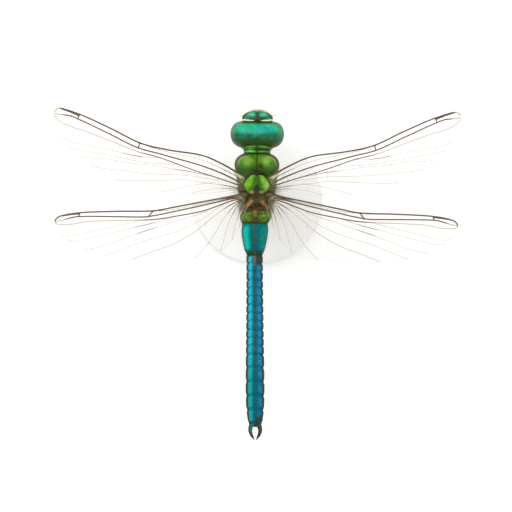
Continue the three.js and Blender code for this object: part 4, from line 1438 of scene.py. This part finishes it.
def nodus_shape(plan):
    """A knob at the joint in the leading edge, with stout braces behind it and at the stigma's inner end."""
    u, slant = plan.wing["nodus"]
    knob_path = plan.at(np.linspace(u - 0.012, u + 0.012, 20), 0.004)
    swell = 0.12 + 0.08 * np.sin(np.pi * np.linspace(0, 1, 20))
    t = np.linspace(0, 1.15, 16)
    braces = [tube(knob_path, swell, 10, dark=1)]
    for start, lean, stout in ((u, slant, 0.16), (plan.wing["stigma"][0], 0.006, 0.14)):
        at_u = start + lean * t
        costa, radius = plan.course("costa", at_u), plan.course("radius", at_u)
        braces.append(tube(plan.at(at_u, costa + t * (radius - costa)), stout, 6, dark=0.95))
    return together(*braces)


def dash_shapes(plan):
    """Stretches of the finer veins that are darker and stouter than their neighbours."""
    shapes = []
    for name, low, high in plan.wing["stretches"]:
        u = np.linspace(low, high, 40)
        path = plan.at(u, plan.course(name, u))
        taper = 0.09 * np.sin(np.pi * np.linspace(0.03, 0.97, 40)) ** 0.5
        shapes.append(tube(path, taper, 6, dark=0.9))
    for u, near, far in plan.wing["stubs"]:
        path = plan.at(np.full(12, u), np.linspace(near, far, 12))
        shapes.append(tube(path, 0.045, 6, dark=0.45))
    return shapes


def vein_shape(plan):
    """All the veins of one wing, with its nodus."""
    nets = [net_between(plan, *stretch) for stretch in facing_stretches(plan)]
    solid = main_veins(plan) + dash_shapes(plan) + [nodus_shape(plan)]
    return together(*solid, *[net for net in nets if net is not None])


def vein_finish():
    """Pale amber veins that go to dark brown where marked."""
    f = Finish("vein_brown", Coat_Weight=0.1, Coat_Roughness=0.2, Specular_IOR_Level=0.3)
    grain = f.ramp(f.noise(0.7, 3.0), 0.3, 0.7)
    pale = f.mix(grain, tint(206, 192, 164), tint(220, 208, 184))
    dark = f.mix(grain, tint(74, 56, 30), tint(100, 80, 48))
    colour = f.mix(f.mark("dark"), pale, dark)
    return f.done(colour, f.ramp(grain, 0, 1, 0.34, 0.5), f.bump(f.noise(0.1), 0.006))


def film_finish():
    """Clear film, faintly warm along the leading edge."""
    f = Finish("wing_film", Alpha=0.035, Specular_IOR_Level=0.5)
    clear = f.mix(f.cloud(2.0, 3.0), tint(248, 248, 244), tint(252, 252, 250))
    colour = f.mix(f.mark("lead"), clear, tint(244, 222, 176))
    colour = f.mix(f.mark("root"), colour, tint(206, 216, 160))
    return f.done(colour, f.satin(0.8, 0.1, 0.22), f.bump(f.noise(0.5, 3.0), 0.02))


def stigma_finish():
    """Amber brown with a fine grain."""
    f = Finish("stigma_amber", Coat_Weight=0.2, Coat_Roughness=0.2, Specular_IOR_Level=0.35)
    colour = f.mix(f.cloud(0.5), tint(112, 84, 56), tint(142, 112, 82))
    return f.done(colour, f.satin(0.3, 0.36, 0.5), f.bump(f.cells(0.15), 0.01))


# ---------------------------------------------------------------- wing hinges

# The small plates at a wing's root: middle [x, station, z], radii, and whether each is pale.
HINGE_PLATES = [
    ((3.0, 17.3, 4.7), (0.95, 0.6, 0.5), 0.2),
    ((3.8, 18.0, 4.7), (0.7, 0.4, 0.3), 0.5),
    ((3.2, 18.8, 4.65), (0.9, 0.5, 0.42), 0),
    ((3.1, 20.9, 4.55), (0.95, 0.5, 0.42), 0),
    ((3.9, 21.6, 4.6), (0.75, 0.36, 0.24), 0.55),
    ((3.0, 22.3, 4.4), (0.85, 0.5, 0.4), 0.1),
    ((3.0, 23.5, 4.2), (0.7, 0.45, 0.34), 0.3),
]


def root_patch_shape(plan):
    """The thick pale film in the corner at a wing's root, behind the costa: a thin slab, pointed outwards.

    The wing's table gives its reach and share: at a fraction u it runs back from the costa over the share
    of the way to the radius, times 1.02 - (u / reach)^2.
    """
    reach, share = plan.wing["root_patch"]
    u = steps(40, 0.0, reach)
    across = np.linspace(0.03, 1, 14)
    width = share * plan.course("radius", u) * (1.02 - (u / reach) ** 2)
    c = np.concatenate([width * across, width * across[::-1]], 1)
    up = np.repeat([0.03, -0.03], 14)[None, :]
    return skin(plan.at(u + 0 * c, c, up + 0 * c), pale=1)


def hinge_shape():
    """The small plates where the wings meet the back: low ovals, each with a ripple across it."""
    shapes = []
    for middle, radii, pale in HINGE_PLATES:
        grid = ball(middle, radii, 36, 48)
        folds = 0.035 * np.cos(2 * np.pi * (grid[..., 1] - middle[1]) / 0.3)
        shapes.append(skin(raised(grid, folds), pale=pale))
    return together(*shapes)


def hinge_finish():
    """Brown and greenish-white hinge plates."""
    f = Finish("hinge_brown", Coat_Weight=0.2, Coat_Roughness=0.2, Specular_IOR_Level=0.35)
    cloud = f.cloud(0.5)
    brown = f.mix(cloud, tint(60, 56, 26), tint(96, 84, 46))
    colour = f.mix(f.mark("pale"), brown, f.mix(cloud, tint(150, 162, 116), tint(188, 196, 152)))
    return f.done(colour, f.satin(0.3, 0.32, 0.5), f.bump(f.noise(0.15), 0.02))


# ---------------------------------------------------------------- legs

# Tucked up for flight: each thigh runs forward along the chest and each shin folds back under it.
# Points are [x, station, z]: hip, end of the trochanter, knee, ankle and toe.
LEGS = {
    "front": [(1.5, 12.9, -3.2), (2.0, 12.2, -5.9), (3.4, 8.1, -6.3), (1.3, 12.4, -8.1), (1.1, 14.8, -8.5)],
    "mid": [(2.1, 15.6, -5.8), (2.7, 15.5, -7.3), (2.9, 8.9, -7.9), (2.6, 16.2, -9.3), (2.0, 19.3, -9.6)],
    "hind": [(2.4, 19.0, -5.6), (3.1, 18.9, -7.2), (4.5, 12.6, -6.1), (3.8, 20.2, -8.4), (3.1, 24.0, -8.2)],
}
THIGH = {"front": 0.44, "mid": 0.48, "hind": 0.52}  # the radius of each thigh
THIGH_SKIN = 0.04  # taken off that radius on the finished surface


def joint_path(start, end, bow, count):
    """Points from start to end on a shallow arc that bows out by `bow` millimetres at its middle."""
    t = steps(count)
    start, end = np.array(start), np.array(end)
    path = start + (end - start) * t
    return path + bow * np.sin(np.pi * t) * np.array([0.8, 0.0, -0.6])


def leg_spines(path, count, length, lean):
    """Two rows of stiff spines along a joint, leaning towards its far end and shorter there."""
    at = np.linspace(0.14, 0.94, count)
    places = np.stack([np.interp(at, np.linspace(0, 1, len(path)), path[:, k]) for k in range(3)], -1)
    along = unit(path[-1] - path[0])
    out = unit(np.cross(along, [0.0, 0.3, 1.0]))
    under = unit(np.cross(along, out))
    under = under * (-1 if under[2] > 0 else 1)
    rows = []
    for turn in (0.5, -0.5):
        way = unit(out * np.sin(turn) + under * np.cos(turn) + lean * along)
        size = length * (1 - 0.35 * at)[:, None]
        rows.append(hairs(places, places + way * size, 0.055, sag=0.06))
    return rows


def leg_shape(points, thigh):
    """One leg: hip, trochanter, tapered femur, thin tibia, three beaded foot joints and two claws."""
    hip, ring, knee, ankle, toe = (np.array(p) for p in points)
    t = np.linspace(0, 1, 30)
    hip_path = joint_path(hip, ring, 0.05, 30)
    pinch = bell(t, 0.62, 0.05)
    hip_joint = tube(hip_path, 0.66 - 0.2 * t - 0.06 * pinch, 22, red=0.5, joint=pinch)
    u = np.linspace(0, 1, 70)
    thigh_path = joint_path(ring, knee, 0.12, 70)
    swell = 0.82 + 0.24 * np.sin(np.pi * u**0.7) - 0.16 * u
    thick = (thigh - THIGH_SKIN) * swell * rise(u, -0.12, 0.04)
    femur = tube(thigh_path, thick, 22, red=rise(u, 0.72, 0.3), joint=0.6 * rise(u, 0.95, 0.99))
    shin_path = joint_path(knee, ankle, -0.1, 60)
    v = np.linspace(0, 1, 60)
    thin = (0.25 - 0.08 * v) * (1 + 0.25 * rise(v, 0.93, 1.0))
    tibia = tube(shin_path, thin, 16, joint=0.5 * rise(v, 0.03, 0))
    w = np.linspace(0, 1, 72)
    beads = np.minimum(2.999, 3.4 * w) % 1
    foot_path = joint_path(ankle, toe, -0.06, 72)
    foot = tube(foot_path, 0.105 + 0.05 * np.sin(np.pi * beads) ** 0.6 * (1 - 0.3 * w), 12)
    ahead = unit(toe - ankle)
    out = unit(np.cross(ahead, [0, 0, 1.0]))
    claw_roots = np.array([toe - 0.1 * ahead + 0.05 * out, toe - 0.1 * ahead - 0.05 * out])
    claw_tips = claw_roots + 0.42 * ahead + 0.2 * np.array([out, -out]) + np.array([0, 0, -0.14])
    claws = hairs(claw_roots, claw_tips, 0.055, sag=-0.2)
    ball_joint = skin(ball(knee, (0.25, 0.27, 0.25), 20, 26), joint=0.25)
    spines = leg_spines(thigh_path[10:], 11, 0.42, 0.6) + leg_spines(shin_path, 12, 0.85, 0.75)
    spines += leg_spines(foot_path, 9, 0.24, 0.9)
    return together(hip_joint, femur, ball_joint, tibia, foot, claws, *spines)


# ---------------------------------------------------------------- hairs

HAIR_PATCH = 0.003  # the share of the unwrap's width that one hair takes


def coat(grid, weight, count, length, stand, lie, scatter):
    """Fine hairs over a grid of skin, with the unwrap of their roots.

    Roots are drawn where weight times area is high. A hair points along `stand` times the skin's normal
    plus its lie, which is a function of the roots, plus some scatter. On the unwrap a root lies at its
    column and row on the grid, as fractions, and the hair takes a patch HAIR_PATCH across there.
    """
    rows, columns = grid.shape[:2]
    normal = facing(grid)
    side = np.roll(grid, -1, axis=1) - grid
    down = np.gradient(grid, axis=0)
    area = np.linalg.norm(np.cross(side, down), axis=-1)
    odds = (np.broadcast_to(weight, area.shape) * area).ravel()
    chosen = rng.choice(odds.size, count, p=odds / odds.sum())
    slip = rng.uniform(-0.5, 0.5, (2, count, 1))
    roots = grid.reshape(-1, 3)[chosen] + slip[0] * side.reshape(-1, 3)[chosen]
    roots = roots + slip[1] * down.reshape(-1, 3)[chosen]
    way = unit(stand * normal.reshape(-1, 3)[chosen] + lie(roots) + rng.normal(0, scatter, (count, 3)))
    size = length * rng.uniform(0.55, 1.0, (count, 1))
    roots = roots - 0.04 * normal.reshape(-1, 3)[chosen]
    shape = hairs(roots, roots + way * size, 0.02 + 0.004 * size[:, 0], shade=rng.uniform(0, 1, count))
    root_place = np.stack([(chosen % columns + 0.5) / columns, (chosen // columns + 0.5) / rows], -1)
    patch = HAIR_PATCH * np.array([(0, 0), (1, 0), (0.5, 1), (0.1, 0.4), (0.8, 0.4), (0.5, 0.9), (0.5, 0.5)])
    return shape, (root_place[:, None] + patch).reshape(-1, 2)


def hair_finish(name, light, dark):
    """Fine hair in two shades."""
    f = Finish(name, Sheen_Weight=0.2)
    colour = f.mix(f.mark("shade"), light, dark)
    colour = f.mix(f.ramp(f.noise(0.6), 0.3, 0.7, 0.0, 0.3), colour, dark)
    return f.done(colour, f.satin(0.4, 0.5, 0.7), f.bump(f.noise(0.06), 0.004))


def coat_piece(name, parts, finish):
    """One piece from several lots of hairs and the unwraps of their roots."""
    shapes, places = zip(*parts)
    piece(name, together(*shapes), finish, (), np.concatenate(places))


def add_hairs():
    """The hairs of the trunk, the wing roots, the first rings, the neck and the face."""
    brown = hair_finish("hair_brown", tint(136, 122, 92), tint(82, 68, 44))
    pale = hair_finish("hair_pale", tint(226, 214, 192), tint(178, 162, 132))
    grid = thorax_grid()
    x, s, z = np.moveaxis(grid, -1, 0)
    aside = np.abs(x)
    low = rise(-z, -1.0, 3.0)
    front = rise(s, 12.4, 11.2) * rise(z, 2.0, -1.0)
    above = rise(z, 2.4, 3.2)
    between = bell(s, 19.8, 0.8) * above
    behind = bell(s, 22.6, 1.3) * above

    def backwards(roots):
        return np.array([0.0, 0.9, -0.12]) + 0 * roots

    def outwards(roots):
        spread = 0.55 * (roots[:, 1] - 19.7)
        return 2.6 * np.stack([np.sign(roots[:, 0]), spread, np.full_like(spread, 0.1)], -1)

    def trailing(roots):
        return np.sign(roots[:, :1]) * np.array([0.75, 0.0, 0.0]) + np.array([0.0, 2.4, -0.5])

    trunk = [
        coat(grid, low + 0.6 * front, 2600, 0.95, 0.55, backwards, 0.22),
        coat(grid, rise(aside, 2.6, 3.4) * (s > 23.2) * rise(z, -1, 1), 420, 1.25, 0.9, backwards, 0.3),
        coat(grid, behind * rise(aside, 2.9, 3.4), 200, 3.4, 0.3, trailing, 0.25),
        coat(grid, behind * rise(aside, 3.0, 3.5), 8, 6.5, 0.2, trailing, 0.12),
    ]
    coat_piece("thorax_hairs", trunk, pale)
    fans = [coat(grid, between * rise(aside, 2.6, 3.2), 90, 4.6, 0.2, outwards, 0.3)]
    fans.append(coat(grid, (between + behind) * rise(aside, 2.2, 3.0), 420, 1.8, 0.8, outwards, 0.7))
    fans.append(coat(grid, rise(s, 20.5, 22) * above, 260, 0.7, 0.8, backwards, 0.6))
    coat_piece("wing_root_hairs", fans, brown)

    ring_s = steps(80, RING_BORDERS[0], RING_BORDERS[2])
    high = smooth(ABDOMEN_HEIGHT, ring_s)
    wide = smooth(ABDOMEN_WIDTH, ring_s)
    ring = oval_rings(ring_s, abdomen_z(ring_s), wide, high, high, ABDOMEN_POWER, 132)
    below = rise(-ring[..., 2], -1.5, 0.5)
    first = [coat(bent(ring), below, 620, 0.9, 0.9, backwards, 0.3)]
    coat_piece("ring_hairs", first, pale)

    cap_s = steps(60, 7.0, 9.9)
    cap = sleeve(CAPSULE, cap_s, CAPSULE_Z, 2.3, 130)
    low_rear = rise(cap[..., 1], 9.2, 9.5) * rise(-cap[..., 2], 0.6, 2.0)
    rear = [coat(cap, low_rear, 320, 0.45, 0.7, backwards, 0.3)]
    collar_s = steps(30, 10.15, 10.75)
    band = sleeve(COLLAR, collar_s, -COLLAR_DROP, 2.1, 140)
    rear.append(coat(band, rise(-band[..., 2], 0.6, 2.0), 260, 0.5, 0.7, backwards, 0.3))
    coat_piece("neck_hairs", rear, pale)

    def forwards(roots):
        return np.array([0.0, -0.3, -0.5]) + 0 * roots

    face = []
    for part, count in ((FRONS, 90), (CLYPEUS, 220), (LABRUM, 260)):
        grid = ball(rows=60, columns=90, **part)
        outside = rise(grid[..., 1], part["middle"][1], part["middle"][1] - 0.8 * part["radii"][1])
        outside = outside * rise(grid[..., 2], part["middle"][2] + 0.4, part["middle"][2] - 0.4)
        face.append(coat(grid, outside, count, 0.32, 0.9, forwards, 0.25))
    coat_piece("face_hairs", face, brown)


# ---------------------------------------------------------------- display stand

STAND = {"radius": 16.0, "height": 3.0, "upper_edge": 0.7, "lower_edge": 0.3, "rod": 1.0}


def turned_shape(profile, station, columns):
    """A turned body: a profile of [radius, height over the floor] carried round an upright axis."""
    radius, height = np.array(profile, float).T
    turn = turns(columns)
    x, s = radius[:, None] * np.cos(turn), station + radius[:, None] * np.sin(turn)
    return skin(np.stack([x, s, FLOOR + height[:, None] + 0 * x], -1))


def rounded_edge(radius, height, round_by, start, end, count=9):
    """Points of a quarter circle on a profile, from one angle to another."""
    turn = np.radians(np.linspace(start, end, count))
    return list(zip(radius + round_by * np.cos(turn), height + round_by * np.sin(turn)))


def base_shape(station):
    """The round base: flat above and below, with both edges rounded."""
    r, h, upper, lower = (STAND[key] for key in ("radius", "height", "upper_edge", "lower_edge"))
    flats = np.linspace(0.02, 1, 12)[:-1]
    under = [(share * (r - lower), 0) for share in flats]
    edges = rounded_edge(r - lower, lower, lower, -90, 0) + rounded_edge(r - upper, h - upper, upper, 0, 90)
    over = [(share * (r - upper), h) for share in flats[::-1]]
    return turned_shape(under + edges + over, station, 144)


def rod_shape(station, top):
    """The rod: a straight round bar with a low turned foot on the base and a soft cup under the chest."""
    r, h = STAND["rod"], STAND["height"]
    foot = [(1.6, h - 0.2)] + rounded_edge(1.75, h + 0.35, 0.25, 0, 90, 7)
    foot += [(r + 0.12, h + 0.62), (r, h + 0.75)]
    shaft = [(r, h + 0.75 + share * (top - h - 1.6)) for share in np.linspace(0.05, 0.95, 8)]
    cup = [(r, top - 0.85), (r + 0.3, top - 0.45), (r + 0.42, top - 0.15), (r + 0.36, top + 0.15)]
    return turned_shape(foot + shaft + cup, station, 72)


def enamel_finish():
    """Satin white enamel with a faint orange peel."""
    f = Finish("stand_enamel", Coat_Weight=0.15, Coat_Roughness=0.2)
    colour = f.mix(f.cloud(9.0, 3.0), tint(250, 250, 248), tint(253, 253, 252))
    return f.done(colour, f.satin(4.0, 0.34, 0.44), f.bump(f.noise(0.8, 2.0), 0.012))


def steel_finish():
    """Polished steel with fine marks of turning across it."""
    f = Finish("stand_steel", Metallic=1.0)
    colour = f.mix(f.cloud(3.0), tint(196, 198, 200), tint(214, 216, 218))
    rings = f.noise(0.4, 3.0, (1, 1, 12))
    return f.done(colour, f.ramp(rings, 0.3, 0.7, 0.18, 0.32), f.bump(rings, 0.006))


# ---------------------------------------------------------------- putting the insect together


def add_head():
    """The eyes, the face with its mouthparts, the antennae, the capsule and the collar."""
    eye = eye_finish()
    limb = limb_finish()
    mouth = pale_finish("mouth_cream", tint(212, 208, 150), tint(188, 190, 120), tint(58, 46, 26))
    face = pale_finish("face_cream", tint(232, 228, 198), tint(214, 212, 176), tint(104, 96, 62))
    rim = pale_finish("rim_cream", tint(240, 234, 210), tint(226, 220, 190), tint(120, 100, 60))
    neck = neck_finish()
    for name, side in SIDES.items():
        surface = on_side(eye_shape(EYE_BLUE[name]), side)
        piece(f"eye_{name}_surface", surface, eye, [f"eye_{name}"])
        antenna = on_side(antenna_shape(), side)
        piece(f"antenna_{name}_bristle", antenna, limb, [f"antenna_{name}"])
        jaw = on_side(mandible_shape(), side)
        piece(f"mandible_{name}_surface", jaw, mouth, [f"mandible_{name}"])
    piece("frons_surface", frons_shape(), frons_finish(), ["frons_and_clypeus"])
    piece("clypeus_surface", clypeus_shape(), face, ["frons_and_clypeus"])
    piece("brow_rims", on_both(brow_rim_shape()), rim, ())
    piece("labrum_surface", labrum_shape(), mouth, ["labrum"])
    piece("labium_surface", labium_shape(), mouth, ["labium"])
    piece("vertex_surface", vertex_shape(), vertex_finish(), ["vertex"])
    piece("ocelli", ocelli_shape(), ocelli_finish(), ())
    piece("head_capsule_surface", capsule_shape(), neck, ["head_capsule"])
    piece("prothorax_surface", collar_shape(), neck, ["prothorax"])
    piece("neck_membrane", membrane_shape(), membrane_finish(), ())


def add_trunk():
    """The thorax, the ten rings behind it and the three claspers."""
    piece("thorax_surface", thorax_shape(), thorax_finish(), ["thorax"])
    patches = [root_patch_shape(WingPlan(wing)) for wing in WINGS.values()]
    piece("wing_hinges", on_both(together(hinge_shape(), *patches)), hinge_finish(), ())
    front, blue = front_ring_finish(), ring_finish()
    for number in range(len(RING_SWELLS)):
        node = f"abdomen_ring_{number + 1:02d}"
        finish, slot = (front, "front_ring_shell") if number < 2 else (blue, "ring_shell")
        piece(f"{node}_surface", ring_shape(number), finish, [node])
    for name, side in SIDES.items():
        finish = clasper_finish(f"clasper_brown_{name}", CLASPER_TEAL[name])
        clasper = on_side(upper_clasper_shape(), side)
        clasper["points"] = bent(clasper["points"])
        piece(f"clasper_{name}_surface", clasper, finish, [f"clasper_{name}"])
    lower = clasper_finish("clasper_brown_lower", CLASPER_TEAL["lower"])
    piece("clasper_lower_surface", lower_clasper_shape(), lower, ["clasper_lower"])


def add_wings():
    """The four wings: each one's veins, film and coloured cell near the tip."""
    veins, film, stigma = vein_finish(), film_finish(), stigma_finish()
    for kind, wing in WINGS.items():
        plan = WingPlan(wing)
        parts = {"veins": (vein_shape(plan), veins), "film": (film_shape(plan), film)}
        parts["stigma"] = (stigma_shape(plan), stigma)
        for name, side in SIDES.items():
            for part, (shape, finish) in parts.items():
                piece(f"{kind}_{name}_{part}", on_side(shape, side), finish, [f"{kind}_{name}"])


def add_legs():
    """The six legs."""
    limb = limb_finish()
    for kind, points in LEGS.items():
        shape = leg_shape(points, THIGH[kind])
        for name, side in SIDES.items():
            node = f"leg_{kind}_{name}"
            piece(f"{node}_surface", on_side(shape, side), limb, [node])


def add_stand():
    """The display stand, at the places of its CAD nodes."""
    low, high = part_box("stand_rod")
    station = station_of((low.y + high.y) / 2)
    piece("stand_base_surface", base_shape(station), enamel_finish(), ["stand_base"])
    top = high.z / MM
    piece("stand_rod_surface", rod_shape(station, top), steel_finish(), ["stand_rod"])


# ---------------------------------------------------------------- studio

VIEW_STATION = 35.56  # the station in the middle of the view
VIEW_WIDTH = 123.4  # millimetres across the view at the height of the body
VIEW_ROLL = 0.6  # degrees
LENS = 300.0
SENSOR = 36.0
WHITE = (1, 1, 1, 1)
FLOOR_HALF = 2.5  # metres from the middle of the floor to its edge
SKY_STRENGTH = 0.36
# Each lamp's place and width in metres, and its power in watts. It faces the origin.
LAMPS = {"key_light": ((0.4, -0.5, 1.2), 1.5, 18.0), "fill_light": ((-0.8, 0.5, 1.0), 1.1, 5.6)}


def add_studio():
    """A plain pale floor, a soft key light ahead and to the left, a weak one behind, and a pale sky."""
    mesh = bpy.data.meshes.new("floor")
    corners = [(FLOOR_HALF * x, FLOOR_HALF * y, 0) for x, y in ((-1, -1), (1, -1), (1, 1), (-1, 1))]
    mesh.from_pydata(corners, [], [(0, 1, 2, 3)])
    f = Finish("floor_paper", Emission_Color=WHITE, Emission_Strength=0.12, Specular_IOR_Level=0.1)
    cloud = f.ramp(f.noise(60.0, 2.0), 0.3, 0.7)
    paper = f.mix(cloud, tint(249, 249, 248), tint(251, 251, 250))
    mesh.materials.append(f.done(paper, f.ramp(cloud, 0, 1, 0.7, 0.8), f.bump(f.noise(1.0), 0.01)))
    floor = bpy.data.objects.new("floor", mesh)
    bpy.context.scene.collection.objects.link(floor)

    for name, (spot_at, width, watts) in LAMPS.items():
        light = bpy.data.lights.new(name, "AREA")
        light.size, light.energy = width, watts
        lamp = bpy.data.objects.new(name, light)
        lamp.location = spot_at
        away = np.array(spot_at) / np.linalg.norm(spot_at)
        lamp.rotation_euler = (np.arccos(away[2]), 0, np.arctan2(away[0], -away[1]))
        bpy.context.scene.collection.objects.link(lamp)

    world = bpy.data.worlds.new("pale_sky")
    world.use_nodes = True
    world.node_tree.nodes["Background"].inputs["Color"].default_value = WHITE
    world.node_tree.nodes["Background"].inputs["Strength"].default_value = SKY_STRENGTH
    bpy.context.scene.world = world
    bpy.context.scene.view_settings.view_transform = "Standard"


def add_camera():
    """A long lens straight above the back, with the head at the top of the view."""
    camera = bpy.data.cameras.new("camera")
    camera.lens, camera.sensor_width = LENS, SENSOR
    viewer = bpy.data.objects.new("camera", camera)
    distance = VIEW_WIDTH * MM * LENS / SENSOR
    viewer.location = (0, FRONT_Y + VIEW_STATION * MM, AXIS_Z + distance)
    viewer.rotation_euler = (0, 0, np.radians(180 + VIEW_ROLL))
    bpy.context.scene.collection.objects.link(viewer)
    bpy.context.scene.camera = viewer


add_head()
add_trunk()
add_wings()
add_legs()
add_hairs()
add_stand()
add_studio()
add_camera()
